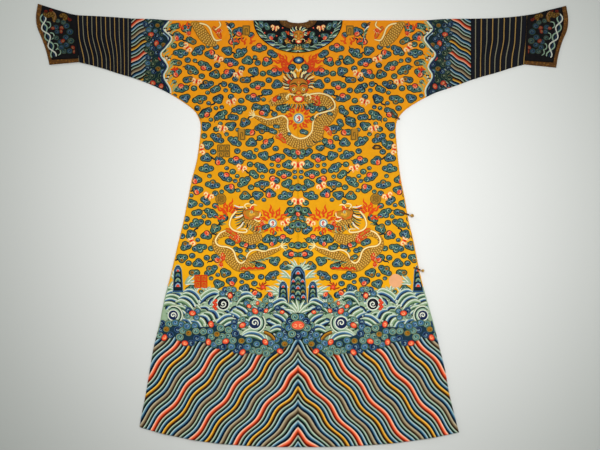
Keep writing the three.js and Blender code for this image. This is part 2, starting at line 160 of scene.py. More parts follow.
def curve(rows, key, column):
    """A smooth curve through one column, with Hermite slopes from each row's neighbours."""
    at, values = rows[key], rows[column]
    last = len(at) - 1
    before = np.maximum(np.arange(last + 1) - 1, 0)
    after = np.minimum(np.arange(last + 1) + 1, last)
    slopes = (values[after] - values[before]) / (at[after] - at[before])

    def value(position):
        p = np.clip(np.asarray(position, float), at[0], at[last])
        i = np.clip(np.searchsorted(at, p, side="right") - 1, 0, last - 1)
        span = at[i + 1] - at[i]
        s = (p - at[i]) / span
        return ((2 * s**3 - 3 * s**2 + 1) * values[i] + (s**3 - 2 * s**2 + s) * span * slopes[i]
                + (3 * s**2 - 2 * s**3) * values[i + 1] + (s**3 - s**2) * span * slopes[i + 1])

    return value


class Side:
    """The outline of one side of the robe."""

    def __init__(self, name, sign):
        self.name, self.sign = name, sign
        self.seam = curve(SIDE_SEAM, "drop", name)
        self.hem_corner = HEM_CORNER_DROP[name]
        self.underarm_x = curve(UNDERARM, "step", name + "_x")
        self.underarm_drop = curve(UNDERARM, "step", name + "_drop")
        self.rise = curve(TOP_EDGE, "x", name)
        self.sleeve_top = curve(SLEEVE, "step", name + "_top")
        self.sleeve_x = curve(SLEEVE, "step", name + "_x")
        self.sleeve_drop = curve(SLEEVE, "step", name + "_drop")
        self.cuff_edge = curve(CUFF_EDGE, "part", name)
        self.cuff_corner = CUFF_CORNER_DROP[name]

    def bottom(self, out):
        """The drop of the underarm and sleeve seam at a distance out from the centre."""
        steps = np.linspace(2, UNDERARM["step"][-1], 40)
        sleeve = np.linspace(0, SLEEVE["step"][-1], 20)
        xs = np.concatenate([self.underarm_x(steps), self.sleeve_x(sleeve)[1:], [self.cuff_edge(1.0)]])
        drops = np.concatenate([self.underarm_drop(steps), self.sleeve_drop(sleeve)[1:], [self.cuff_corner]])
        return np.interp(out, xs, drops)

    def hem(self, out):
        """The drop of the hem at a distance out from the centre."""
        share = np.clip(out / self.seam(self.hem_corner), 0, 1)
        return mix(CENTRE_LENGTH, self.hem_corner, share ** HEM_CURVE)


LEFT, RIGHT = Side("left", -1), Side("right", 1)
SIDES = (LEFT, RIGHT)
lap_edge = curve(LAP_EDGE, "x", "drop")


def by_side(x, function):
    """One value for each x, from the left or right side's own curve."""
    return np.where(x < 0, function(LEFT), function(RIGHT))


def lap_lift(x, drop):
    return LAYER * (1 - smoothstep(0, LAP_RAMP, lap_edge(np.maximum(x, 0)) - drop))


def front_mid(x, drop):
    return FRONT_MID + np.where(x > 0, lap_lift(x, drop), 0)


def lap_mid(x, drop):
    return np.full_like(x, FRONT_MID)


def inside_outline(x, drop):
    out = np.abs(x)
    from_seam = by_side(x, lambda side: side.seam(drop)) - out
    from_bottom = by_side(x, lambda side: side.bottom(out)) - drop
    return np.maximum(from_seam, from_bottom)


def relief(x, drop):
    below = drop + by_side(x, lambda side: side.rise(np.abs(x)))
    fade = smoothstep(0, FOLD_EDGE_FADE, below) * smoothstep(0, FOLD_EDGE_FADE, inside_outline(x, drop))
    height = np.zeros_like(np.asarray(x, float))
    for fold_x, fold_at, turn, length, width, rise in rows_of(FOLDS):
        turn = math.radians(turn)
        dx, dd = x - fold_x, drop - fold_at
        along = dx * math.cos(turn) + dd * math.sin(turn)
        across = dd * math.cos(turn) - dx * math.sin(turn)
        end = 1 - smoothstep(FOLD_END_FROM, 1, np.abs(along) / length)
        height += rise * end * np.exp(-((across / width) ** 2))
    return height * fade


def back_mid(x, drop):
    zero = np.zeros_like(x)
    lift = np.where(x > 0, lap_lift(x, drop), lap_lift(zero, drop) * smoothstep(-CENTRE_RAMP, 0, x))
    return FRONT_MID + LAYER + lift + relief(x, drop)


def fold_drop(x):
    return FOLD_RADIUS - by_side(x, lambda side: side.rise(np.abs(x)))


def to_world(x, drop, z):
    return np.stack([(x + SHIFT_X), (SHIFT_Y - drop), z], axis=-1) / 1000


def add_piece(name, mesh):
    """An object for a finished mesh, on the part's one body."""
    mesh.validate()
    piece = bpy.data.objects.new(name, mesh)
    bpy.context.collection.objects.link(piece)
    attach(piece, "root")
    return piece


def quads_of(rows, columns, first):
    """The quads of a grid of points that is numbered row by row."""
    ids = np.arange(rows * columns).reshape(rows, columns) + first
    return np.stack([ids[:-1, :-1], ids[:-1, 1:], ids[1:, 1:], ids[1:, :-1]], -1).reshape(-1, 4)


# Shells

FOLD_SPANS = 6


def laid(spot, backwards):
    """A patch's place from a spot that gives x and drop; backwards, it runs up to the fold."""
    return lambda row, share: (*spot(row, 1 - share if backwards else share), None)


class Shell:
    """The middle surface of one piece, from patches of points that share their edges."""

    def __init__(self, name):
        self.name = name
        self.points, self.normals, self.pattern, self.quads = [], [], [], []
        self.count = 0

    def patch(self, place, rows, columns, flip, where):
        """rows by columns quads; place gives x and drop from shares, where says how the patch lies."""
        row, share = np.meshgrid(np.linspace(0, 1, rows + 1), np.linspace(0, 1, columns + 1), indexing="ij")
        x, drop, angle = place(row, share)
        if where == "fold":
            normal = np.stack([np.zeros_like(x), np.cos(angle), np.sin(angle)], -1)
            y = -fold_drop(x) + FOLD_RADIUS * np.cos(angle)
            z = FOLD_MID + FOLD_RADIUS * np.sin(angle)
            drop = -y
        else:
            up = 1.0 if where == "back" else -1.0
            normal = np.stack([np.zeros_like(x), np.zeros_like(x), np.full_like(x, up)], -1)
            z = {"back": back_mid, "front": front_mid, "lap": lap_mid}[where](x, drop)
        self.points.append(np.stack([x, -drop, z], -1).reshape(-1, 3))
        self.normals.append(normal.reshape(-1, 3))
        self.pattern.append(np.stack([x, drop], -1).reshape(-1, 2))
        quads = quads_of(rows + 1, columns + 1, self.count)
        self.quads.append(quads[:, ::-1] if flip else quads)
        self.count += x.size

    def folded(self, spot, rows, columns, flip):
        """The back from its far edge up to the fold, round it, and down the front."""
        def round_fold(row, share):
            return spot(row, np.zeros_like(row))[0], None, math.pi / 2 - math.pi * share

        self.patch(laid(spot, True), rows, columns, flip, "back")
        self.patch(round_fold, rows, FOLD_SPANS, flip, "fold")
        self.patch(laid(spot, False), rows, columns, flip, "front")

    def build(self, slot, node):
        """Thickens the surface to both sides, closes its rim and puts it in its node's place."""
        points = np.concatenate(self.points)
        normals = np.concatenate(self.normals)
        pattern = np.concatenate(self.pattern)
        quads = np.concatenate(self.quads)
        keys = np.round(points, 3) + 0.0
        _, first, back = np.unique(keys, axis=0, return_index=True, return_inverse=True)
        points, normals, pattern = points[first], normals[first], pattern[first]
        quads = back.reshape(-1)[quads]
        outside = np.where(normals[:, 2] < -0.5, FRONT_OUTSIDE, BACK_OUTSIDE)[:, None]
        count = len(points)
        both = np.concatenate([points + normals * outside, points + normals * INSIDE])
        edges = np.concatenate([quads[:, [i, (i + 1) % 4]] for i in range(4)])
        keys = edges[:, 0] * count + edges[:, 1]
        reverse = edges[:, 1] * count + edges[:, 0]
        free = edges[~np.isin(keys, reverse)]
        rim = np.stack([free[:, 0], free[:, 0] + count, free[:, 1] + count, free[:, 1]], -1)
        faces = np.concatenate([quads, quads[:, ::-1] + count, rim])
        mesh = bpy.data.meshes.new(self.name)
        world = to_world(both[:, 0], -both[:, 1], both[:, 2])
        mesh.from_pydata(world.tolist(), [], faces.tolist())
        for name, values in ornament_fields(self.name, np.tile(pattern, (2, 1)) / UNIT).items():
            field = mesh.attributes.new(name, "FLOAT", "POINT")
            field.data.foreach_set("value", values.astype(np.float32))
        mesh.polygons.foreach_set("use_smooth", [True] * (2 * len(quads)) + [False] * len(rim))
        piece = add_piece(self.name, mesh)
        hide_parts(node)
        return piece, shell_area(points, quads)


def shell_area(points, quads):
    """Square metres of cloth."""
    a, b, c, d = (points[quads[:, i]] for i in range(4))
    return float(np.linalg.norm(np.cross(c - a, d - b), axis=1).sum() / 2) / 1e6


# Thread colours, in sRGB

def thread(red, green, blue):
    values = np.array([red, green, blue]) / 255
    return tuple(np.where(values < 0.04045, values / 12.92, ((values + 0.055) / 1.055) ** 2.4))


OUTLINE = thread(10, 34, 38)
NIGHT = thread(10, 16, 26)
LEAF = thread(92, 128, 90)
CLOUD_BLUE = thread(40, 73, 100)
CLOUD_GREEN = thread(48, 92, 92)
MOSS = thread(60, 92, 66)
SAGE = thread(146, 166, 124)
TEAL = thread(74, 122, 122)
STEEL = thread(58, 104, 142)
NAVY = thread(20, 34, 72)
SKY = thread(132, 168, 184)
WHITE = thread(228, 232, 214)
MINT = thread(158, 188, 160)
CORAL = thread(238, 92, 60)
RED = thread(212, 52, 6)
FIRE = thread(228, 84, 14)
OCHRE = thread(142, 94, 22)
BROWN = thread(84, 54, 18)
GOLD = thread(184, 128, 28)
PALE_GOLD = thread(226, 164, 44)
AMBER = thread(196, 116, 24)
CREAM = thread(248, 230, 160)
PEACH = thread(250, 184, 120)
# The yellow ground by height: painted shade makes it darker towards the shoulders and lighter low down
YELLOW_SHADED_TOP = thread(212, 128, 10)
YELLOW_HALF_SHADED_MID = thread(228, 160, 12)
YELLOW_LOW = thread(244, 178, 12)
CREST_LINE = table("x y", [
    (170.2, 14), (169.6, 21), (164.5, 29.3), (172.2, 38.3), (167, 47.2), (161.4, 54.8), (168.4, 66.3),
    (164.5, 76.5), (171, 89.3), (170, 100),
])

# The picture's pixels: where the centre line and the shoulder line lie in it, one unit a pixel
CENTRE_PIXEL = 298.4
SHOULDER_PIXEL = 20.5

# What the ground shows: fields that the silk's material reads, in pattern units

SEA_TOP = table("out depth", [
    (0, 282), (8, 282), (21, 281), (30, 283.5), (42, 277.5), (52, 272.5), (59, 270.5), (76, 269.5),
    (87, 269), (97, 273.5), (112, 271), (117, 267.5), (131, 265.5), (170, 262),
])
BANK_TOP = table("x y", [
    (150, 324), (159, 323), (181, 322), (201, 327), (219, 326), (234, 325), (241, 335), (256, 339),
    (270, 341), (280.5, 333), (287, 321), (292, 316), (298.5, 313),
])
BANK_FOOT = table("x y", [
    (130, 333), (158, 335.5), (176, 336.7), (187.4, 346.5), (196, 340.3), (205.3, 343), (218, 349),
    (229.5, 343.8), (239.7, 354.4), (257.6, 352), (272, 354.4), (283.2, 350), (290.5, 340), (298.5, 336),
])
STRIPES_UNDER_BANK = 3.5
sea_top = curve(SEA_TOP, "out", "depth")
crest_x = curve(CREST_LINE, "y", "x")


def stripe_top(out):
    foot = np.interp(CENTRE_PIXEL - out, BANK_FOOT["x"], BANK_FOOT["y"])
    return foot - SHOULDER_PIXEL - STRIPES_UNDER_BANK


STRIPE_SLOPE = math.radians(50.2)
STRIPE_CYCLE = 36.5
STRIPE_WAVE = 39
STRIPE_WAVE_START = 297
STRIPE_SWING = 1.5
STRIPE_START = 348.3
CENTRE_STRETCH = 0.92
CENTRE_STRETCH_OUT = 22
CORAL_MIDDLE = 0.067
HEM_DRIFT = ((5, 21), (3, 47))    # how far the stripes wander, and over what length
SLEEVE_ZONE = (118, 108)
SLEEVE_STRIPES_FROM = 146
SLEEVE_STRIPE_CYCLE = 36
SLEEVE_STRIPE_SLOPE = 0.64
SLEEVE_STRIPE_START = 4.5
SLEEVE_STRIPE_OUT = 166.4
SLEEVE_WAVE = (0.6, 15, 0.1)
SWING_GROWS = 8
# The ribs of a lower sleeve: how many, the first one's share, and how its creases push them sideways
RIB_DEPTH = 46
RIB_SPAN = 55
RIBS = {
    "left": {"cycles": 6.1, "first": 0.2, "push": 4.2, "down": (13, 40), "grows": (168, 192),
             "ebbs": (208, 222), "rest": 0.55},
    "right": {"cycles": 4.9, "first": 0.13, "push": 2.6, "down": (18, 40), "grows": (178, 196),
              "ebbs": (208, 224), "rest": 0.4},
}


def ornament_fields(name, pattern):
    """The fields of one piece, by name, from its places in the pattern."""
    out, depth = np.abs(pattern[:, 0]), pattern[:, 1]
    if name.startswith("sleeve"):
        return rib_field(LEFT if "left" in name else RIGHT, out, depth)
    if not name.startswith(("body", "front")):
        return {}
    on_sleeve = (out > SLEEVE_ZONE[0]) & (depth < SLEEVE_ZONE[1])
    along = out * math.cos(STRIPE_SLOPE) + depth * math.sin(STRIPE_SLOPE)
    stretch = mix(CENTRE_STRETCH, 1, smoothstep(0, CENTRE_STRETCH_OUT, out))
    across = (depth - STRIPE_START) * stretch * math.cos(STRIPE_SLOPE) - out * math.sin(STRIPE_SLOPE)
    (far, far_length), (near, near_length) = HEM_DRIFT
    drift = far * np.sin(across / far_length) + near * np.sin(along / near_length + 1)
    swing = STRIPE_SWING * np.cos(2 * math.pi * (along + drift - STRIPE_WAVE_START) / STRIPE_WAVE)
    hem = (across - swing * np.clip(out / SWING_GROWS, 0, 1)) / STRIPE_CYCLE + CORAL_MIDDLE
    height, length, lean = SLEEVE_WAVE
    wave = height * np.sin(2 * math.pi * out / length + depth * lean)
    rise = SLEEVE_STRIPE_SLOPE * (out - SLEEVE_STRIPE_OUT) - (depth - SLEEVE_STRIPE_START)
    sleeve = (rise + wave) / SLEEVE_STRIPE_CYCLE + CORAL_MIDDLE
    behind_crest = out - CENTRE_PIXEL + crest_x(depth + SHOULDER_PIXEL)
    return {
        "phase": np.where(on_sleeve, sleeve, hem),
        "sea": np.where(on_sleeve, behind_crest, depth - sea_top(out)),
        "sleeve": np.where(on_sleeve, 1.0, -1.0),
        "stripes": np.where(on_sleeve, out - SLEEVE_STRIPES_FROM, depth - stripe_top(out)),
    }


def rib_field(side, out, depth):
    """Cycles of ribs, counted from the seam of the yellow, with the push of the sleeve's creases."""
    last = SLEEVE["step"][-1]
    start = side.sleeve_top(0.0) / UNIT
    end = mix(side.sleeve_top(last) / UNIT, side.sleeve_x(last) / UNIT, np.clip(depth / RIB_DEPTH, 0, 1))
    reach = (out - start) / (end - start)
    ribs = RIBS[side.name]
    bend = ribs["push"] * smoothstep(*ribs["down"], depth) * smoothstep(*ribs["grows"], out)
    bend = bend * mix(1, ribs["rest"], smoothstep(*ribs["ebbs"], out))
    return {"ribs": (reach + bend / RIB_SPAN) * ribs["cycles"] + ribs["first"]}


# The pieces of cloth

ARMPIT_STEP = 2.4
BODY_COLUMNS = 60
FRONT_COARSER = 3
YOKE_ROWS = 27
SHOULDER_ROWS = 60
SLEEVE_GRID = (54, 44)
CUFF_GRID = (24, 30)
BORDER_SPANS = 5
BORDER_SPANS_DOWN = 36
BOTTOM_SPANS = 4
CUFF_WIDTH = 110
CUFF_HEIGHT = 160
NECK_ROWS = 30
COLLAR_COLUMNS = 14
BINDING_COLUMNS = 5
LAP_COLUMNS = 56
FLAP_ROWS = 150
FLAP_BAND_ROWS = 6


def body_half(side):
    """Back, front and upper sleeve of one side, folded over the shoulder."""
    shell = Shell("body_" + side.name + "_silk")
    seam = BODY_SEAM
    collar = NECK["collar"]
    last_step = UNDERARM["step"][-1]
    flip = side.sign > 0

    def lower(collar_drop):
        def spot(row, share):
            at_centre = mix(CENTRE_LENGTH, collar_drop + SEAM_GAP, row)
            at_side = mix(side.hem_corner, UNDERARM_DROP, row)
            drop = mix(at_centre, at_side, share ** mix(HEM_CURVE, 1, row))
            return side.sign * mix(seam, side.seam(at_side), share), drop
        return spot

    def yoke(collar_drop):
        def spot(row, share):
            angle = row * math.pi / 2
            fold = mix(0, fold_drop(np.array(collar["half_width"])), row)
            x = np.maximum((collar["half_width"] + SEAM_GAP) * np.sin(angle), seam)
            drop = np.maximum((collar_drop + SEAM_GAP) * np.cos(angle), fold)
            step = row * ARMPIT_STEP
            across = side.sign * mix(x, side.underarm_x(step), share)
            return across, mix(drop, side.underarm_drop(step), share)
        return spot

    def shoulder(row, share):
        step = mix(ARMPIT_STEP, last_step, row)
        start = collar["half_width"] + SEAM_GAP
        top = side.sign * mix(start, side.underarm_x(last_step) - seam, row)
        end = side.sign * (side.underarm_x(step) - seam * (row == 1))
        return mix(top, end, share), mix(fold_drop(top), side.underarm_drop(step), share)

    rows = int(CENTRE_LENGTH / CELL)
    for where, long_rows in (("back", rows), ("front", rows // FRONT_COARSER)):
        backwards = where == "back"
        shell.patch(laid(lower(collar[where]), backwards), long_rows, BODY_COLUMNS, flip, where)
        shell.patch(laid(yoke(collar[where]), backwards), YOKE_ROWS, BODY_COLUMNS, flip, where)
    shell.folded(shoulder, SHOULDER_ROWS, BODY_COLUMNS, flip)
    return shell.build("yellow_silk", "body_" + side.name)


def lower_sleeve(side):
    """The ribbed tube between the yellow and the cuff."""
    shell = Shell("sleeve_" + side.name + "_ribbed")
    last = SLEEVE["step"][-1]

    def spot(row, share):
        shift = SEAM_GAP / 2 * ((row == 0) * 1.0 - (row == 1) * 1.0)
        top = side.sign * (side.sleeve_top(row * last) + shift)
        x = side.sign * (side.sleeve_x(row * last) + shift)
        return mix(top, x, share), mix(fold_drop(top), side.sleeve_drop(row * last), share)

    shell.folded(spot, *SLEEVE_GRID, side.sign > 0)
    return shell.build("indigo_silk", "sleeve_" + side.name)


def cuff_spot(side, along, down):
    """A place on a cuff: along 0 is its seam and 1 its flared edge, down 0 is the fold and 1 its bottom."""
    last = SLEEVE["step"][-1]
    start = side.sleeve_top(last) + SEAM_GAP / 2
    seam = mix(side.sleeve_top(last), side.sleeve_x(last), down) + SEAM_GAP / 2
    x = side.sign * mix(seam, side.cuff_edge(down), along)
    top = side.sign * mix(start, side.cuff_edge(np.zeros_like(down)), along)
    bottom = mix(side.sleeve_drop(last), side.cuff_corner, along)
    return x, mix(fold_drop(top), bottom, down)


def cuff_patch(shell, side, along, down, rows, columns):
    """Part of a cuff, with its fold where it starts there."""
    flip = side.sign > 0

    def spot(row, share):
        return cuff_spot(side, mix(*along, row), mix(*down, share))

    if down[0] == 0:
        shell.folded(spot, rows, columns, flip)
        return
    shell.patch(laid(spot, True), rows, columns, flip, "back")
    shell.patch(laid(spot, False), rows, columns, flip, "front")


def cuff(side):
    """The black ground of one cuff and the braid along its edge and its lower seam."""
    ground = Shell("cuff_" + side.name + "_ground")
    cuff_patch(ground, side, (0, 1 - CUFF_BORDER_SHARE), (0, 1 - CUFF_BOTTOM_SHARE), *CUFF_GRID)
    border = Shell("cuff_border_" + side.name + "_braid")
    inner = 1 - CUFF_BORDER_SHARE + SEAM_GAP / CUFF_WIDTH
    above = 1 - CUFF_BOTTOM_SHARE + SEAM_GAP / CUFF_HEIGHT
    cuff_patch(border, side, (inner, 1), (0, above), BORDER_SPANS, BORDER_SPANS_DOWN)
    cuff_patch(border, side, (inner, 1), (above, 1), BORDER_SPANS, BOTTOM_SPANS)
    cuff_patch(border, side, (0, inner), (above, 1), CUFF_GRID[0], BOTTOM_SPANS)
    return (ground.build("black_silk", "cuff_" + side.name),
            border.build("gold_brown_braid", "cuff_border_" + side.name))


def neck_band(name, node, inner, outer, slot, columns):
    """A band round the neck hole, between two ellipses."""
    shell = Shell(name)
    inner, outer = NECK[inner], NECK[outer]
    seam = SEAM_GAP / 2

    def ellipse(angle, share, depth):
        half_width = mix(inner["half_width"] + seam, outer["half_width"] - seam, share)
        deep = mix(inner[depth] + seam, outer[depth] - seam, share)
        return half_width * np.sin(angle), deep * np.cos(angle)

    for sign in (-1, 1):
        def on(where, sign=sign):
            def place(row, share):
                x, drop = ellipse(row * math.pi / 2, share, where)
                x = x if where == "back" else np.maximum(x, seam)
                return sign * x, np.maximum(drop, fold_drop(sign * x)), None
            return place

        def round_fold(row, share, sign=sign):
            x, _ = ellipse(math.pi / 2, row, "back")
            return sign * x, None, math.pi / 2 - math.pi * share

        shell.patch(on("back"), NECK_ROWS, columns, sign < 0, "back")
        shell.patch(round_fold, columns, FOLD_SPANS, sign > 0, "fold")
        shell.patch(on("front"), NECK_ROWS, columns, sign > 0, "front")
    return shell.build(slot, node)


def lap_piece(name, node, slot, rows, upper, lower):
    """A piece of the lapping front, between two edges given by their drop at each share of its width."""
    shell = Shell(name)

    def place(row, share):
        at_side = mix(lower(1.0), upper(1.0), row)
        return mix(SEAM_GAP / 2, RIGHT.seam(at_side), share), mix(lower(share), upper(share), row), None

    shell.patch(place, rows, LAP_COLUMNS, True, "lap")
    return shell.build(slot, node)


# Ornament: thin raised stitching, in pattern units from the centre line and the shoulder line

LIFT = 0.25
LEVEL_STEP = 0.05
PATCH_STEP = 0.01
PATCH_CYCLE = 5
# Painted shade: the stitching's thread colours are darkened towards the shoulders, fading out lower down
PAINTED_SHOULDER_SHADE = 0.74             # threads near the shoulders are darker
PAINTED_SHADE_FADE = (50, 190)
SMALLEST_FACE = 1e-9


def at(x, y):
    """A place measured on the picture, as pattern units."""
    return x - CENTRE_PIXEL, y - SHOULDER_PIXEL


def path(*places):
    return np.array([at(x, y) for x, y in places])


def smooth(points, step=1.3):
    """More points along a line through the given ones, about one step apart."""
    points = np.asarray(points, float)
    if len(points) == 2:
        count = max(int(np.hypot(*(points[1] - points[0])) / step), 1)
        return points[0] + (points[1] - points[0]) * np.linspace(0, 1, count + 1)[:, None]
    padded = np.concatenate([[2 * points[0] - points[1]], points, [2 * points[-1] - points[-2]]])
    out = [points[:1]]
    for i in range(len(points) - 1):
        a, b, c, d = padded[i:i + 4]
        count = max(int(np.hypot(*(c - b)[:2]) / step), 1)
        t = (np.arange(1, count + 1) / count)[:, None]
        out.append(0.5 * (2 * b + (c - a) * t + (2 * a - 5 * b + 4 * c - d) * t**2
                          + (3 * b - a - 3 * c + d) * t**3))
    return np.concatenate(out)


def direction_along(line):
    """Unit steps along a line."""
    along = np.gradient(line, axis=0)
    return along / np.maximum(np.hypot(along[:, 0], along[:, 1]), 1e-6)[:, None]


def lengths_along(line):
    """How far along a line each of its points lies."""
    return np.concatenate([[0], np.cumsum(np.hypot(*np.diff(line, axis=0).T))])


def place_along(distance, lengths, values):
    """What two columns of values say at a distance along their line."""
    return np.array([np.interp(distance, lengths, values[:, i]) for i in (0, 1)])


class Stitching:
    """One mesh of flat stitched shapes, each face in the colour of its thread."""

    def __init__(self, name, slot, keep, strength=1.0):
        self.name, self.slot, self.keep, self.strength = name, slot, keep, strength
        self.places, self.quads, self.colours = [], [], []
        self.count = 0

    def grid(self, x, depth, level, colours, mirror=True):
        """Rows of points, with one colour for each band between two rows."""
        x, depth = np.asarray(x, float), np.asarray(depth, float)
        rows, columns = x.shape
        level += len(self.quads) % PATCH_CYCLE * PATCH_STEP / LEVEL_STEP
        for sign in ((1, -1) if mirror else (1,)):
            places = np.stack([x.ravel() * sign, depth.ravel(), np.full(x.size, float(level))], -1)
            self.places.append(places)
            self.quads.append(quads_of(rows, columns, self.count))
            self.colours.append(np.repeat(np.array(colours), columns - 1, axis=0))
            self.count += x.size

    def disc(self, x, depth, radius, bands, level=0, squash=1.0, turn=0.0, segments=12, mirror=True):
        """Nested rings: bands are (outer share of the radius, colour), from outside in."""
        shares = [share for share, _ in bands] + [0.0]
        angle = np.linspace(0, 2 * math.pi, segments + 1)
        rings = np.array(shares)[:, None] * radius
        u, v = rings * np.cos(angle), rings * np.sin(angle) * squash
        px = x + u * math.cos(turn) - v * math.sin(turn)
        pd = depth + u * math.sin(turn) + v * math.cos(turn)
        self.grid(px, pd, level, [colour for _, colour in bands], mirror)

    def stroke(self, points, width, colours, level=0, taper=(0.3, 0.3), mirror=True, step=1.3):
        """A ribbon along a line; taper is how much of its width is left at its two ends."""
        line = smooth(points, step)
        xy = line[:, :2]
        along = direction_along(xy)
        normal = np.stack([-along[:, 1], along[:, 0]], -1)
        share = np.linspace(0, 1, len(xy))
        half = width / 2 * np.minimum(1, np.minimum(taper[0] + share * 4, taper[1] + (1 - share) * 4))
        if line.shape[1] > 2:
            half = half * line[:, 2]
        rows = np.linspace(-1, 1, len(colours) + 1)[:, None, None]
        grid = xy[None] + normal[None] * half[None, :, None] * rows
        self.grid(grid[..., 0], grid[..., 1], level, colours, mirror)

    def spiral(self, x, depth, radius, turns, width, colour, level, start=0.0, sense=1, mirror=True):
        angle = np.linspace(0, turns * 2 * math.pi, int(turns * 9) + 2)
        r = radius * (1 - 0.85 * angle / angle[-1])
        turn = start + sense * angle
        points = np.stack([x + r * np.cos(turn), depth + r * np.sin(turn)], -1)
        self.stroke(points, width, [colour], level, (0.5, 0.5), mirror, step=50)

    def arcs(self, x, depth, inner, outer, start, end, colours, level, squash=1.0, mirror=True):
        """Nested arcs, the outermost colour first."""
        steps = max(int(abs(end - start) * outer / 2.2), 4)
        angle = np.linspace(start, end, steps + 1)
        radii = np.linspace(outer, inner, len(colours) + 1)[:, None]
        self.grid(x + radii * np.cos(angle), depth + radii * np.sin(angle) * squash, level, colours, mirror)

    def shape(self, outline, bands, level, mirror=True, centre=None):
        """A star-shaped outline with nested bands."""
        outline = np.asarray(outline, float)
        outline = np.concatenate([outline, outline[:1]])
        middle = np.mean(outline[:-1], axis=0) if centre is None else np.asarray(centre)
        shares = np.array([share for share, _ in bands] + [0.0])[:, None, None]
        grid = middle + (outline[None] - middle) * shares
        self.grid(grid[..., 0], grid[..., 1], level, [colour for _, colour in bands], mirror)

    def build(self):
        places = np.concatenate(self.places)
        quads = np.concatenate(self.quads)
        # painted shade: threads near the shoulders are darkened
        shade = mix(PAINTED_SHOULDER_SHADE, 1, smoothstep(*PAINTED_SHADE_FADE, places[quads].mean(axis=1)[:, 1]))
        colours = np.concatenate(self.colours) * (self.strength * shade)[:, None]
        x, drop = self.keep(places[:, 0] * UNIT, places[:, 1] * UNIT)
        z = back_mid(x, drop) + BACK_OUTSIDE + LIFT + places[:, 2] * LEVEL_STEP
        world = to_world(x, drop, z)
        a, b, c, d = (world[quads[:, i]] for i in range(4))
        area = np.cross((c - a)[:, :2], (d - b)[:, :2])
        quads = np.where((area < 0)[:, None], quads[:, ::-1], quads)
        real = np.abs(area) > SMALLEST_FACE
        mesh = bpy.data.meshes.new(self.name)
        mesh.from_pydata(world.tolist(), [], quads[real].tolist())
        rgba = np.concatenate([colours[real], np.ones((real.sum(), 1))], 1)
        tones = mesh.attributes.new("thread", "FLOAT_COLOR", "CORNER")
        tones.data.foreach_set("color", np.repeat(rgba, 4, axis=0).astype(np.float32).ravel())
        mesh.polygons.foreach_set("use_smooth", [True] * len(mesh.polygons))
        return add_piece(self.name, mesh)


EDGE_MARGIN = 3.0
NECK_CENTRE = 0.3


def keep_on_body(x, drop):
    """Moves what would pass an edge of the yellow back onto it."""
    out = np.abs(x)
    sign = np.where(x < 0, -1, 1)
    seam = by_side(x, lambda side: side.seam(drop)) - EDGE_MARGIN
    bottom = by_side(x, lambda side: side.bottom(out)) - EDGE_MARGIN
    past = (out > seam) & (drop > bottom)
    sideways = past & ((drop > SIDE_SEAM["drop"][0]) | (out - seam < drop - bottom))
    out = np.where(sideways, seam, out)
    drop = np.where(past & ~sideways, bottom, drop)
    out = np.minimum(out, by_side(x, lambda side: side.sleeve_top(0.0)) - EDGE_MARGIN)
    top = -by_side(x, lambda side: side.rise(out)) + EDGE_MARGIN
    hem = by_side(x, lambda side: side.hem(out)) - EDGE_MARGIN
    drop = np.clip(drop, top, hem)
    collar = NECK["collar"]
    inside = np.hypot(out / (collar["half_width"] + EDGE_MARGIN), drop / (collar["back"] + EDGE_MARGIN))
    grow = np.where((inside < 1) & (inside > NECK_CENTRE), 1 / np.maximum(inside, NECK_CENTRE), 1)
    return sign * out * grow, drop * grow


def keep_on_collar(x, drop):
    band = NECK["collar"]
    share = np.hypot(x / (band["half_width"] - EDGE_MARGIN), drop / (band["back"] - EDGE_MARGIN))
    shrink = np.where(share > 1, 1 / share, 1)
    return x * shrink, np.maximum(drop * shrink, EDGE_MARGIN)


def keep_on_cuff(x, drop):
    out = np.abs(x)
    out = np.maximum(out, by_side(x, lambda side: side.sleeve_top(SLEEVE["step"][-1])) + EDGE_MARGIN)
    top = -by_side(x, lambda side: side.rise(out)) + EDGE_MARGIN
    return np.where(x < 0, -1, 1) * out, np.maximum(drop, top)


def turned(points, x, depth, angle=0.0, size=1.0):
    """A small motif's points, turned and sized about a place."""
    points = np.asarray(points, float) * size
    c, s = math.cos(angle), math.sin(angle)
    u, v = points[:, 0], points[:, 1]
    moved = np.stack([u * c - v * s + x, u * s + v * c + depth], -1)
    return moved if points.shape[1] == 2 else np.concatenate([moved, points[:, 2:] / size], 1)


def flipped(points, sign):
    return [(u * sign, v) for u, v in points]


# Clouds: a few round lobes with curls, joined, with a thin tail

CLOUD_SEED = 11
LOBE_TONES = {
    "blue": (CLOUD_BLUE, SKY, NIGHT), "teal": (CLOUD_GREEN, MINT, NIGHT), "ochre": (OCHRE, GOLD, BROWN),
}
CLOUD_HOOK = [(0, 0), (-3.6, 2.2), (-6.0, 1.6), (-7.6, 2.8)]
HOOK_RADIUS = 3.4
LOBES_TOUCH = 1.4
LOBE_SQUASH = 0.88
SMALL_CLOUD_LEVEL = 30


def lobe(work, x, depth, radius, kind, level, turn, mirror=True):
    """What a lobe shows inside a cloud's edge."""
    if kind == "coral":
        work.disc(x, depth, radius, [(0.8, RED), (0.68, CORAL), (0.3, RED)], level, 0.8, turn, 10, mirror)
        edge = turned([(-radius * 0.4, -0.9), (radius * 0.2, -1.2), (radius * 0.62, 0.6)], x, depth, turn)
        work.stroke(edge, 0.85, [PEACH], level + 1, (0.5, 0.5), mirror)
        return
    core, mark, dark = LOBE_TONES[kind]
    work.disc(x, depth, radius, [(0.56, core)], level, 0.85, turn * 0.1, 10, mirror)
    work.spiral(x, depth, radius * 0.46, 0.7, 0.7, mark, level + 1, turn, 1, mirror)
    work.disc(x, depth, radius * 0.22, [(1, dark)], level + 2, 1, 0, 6, mirror)


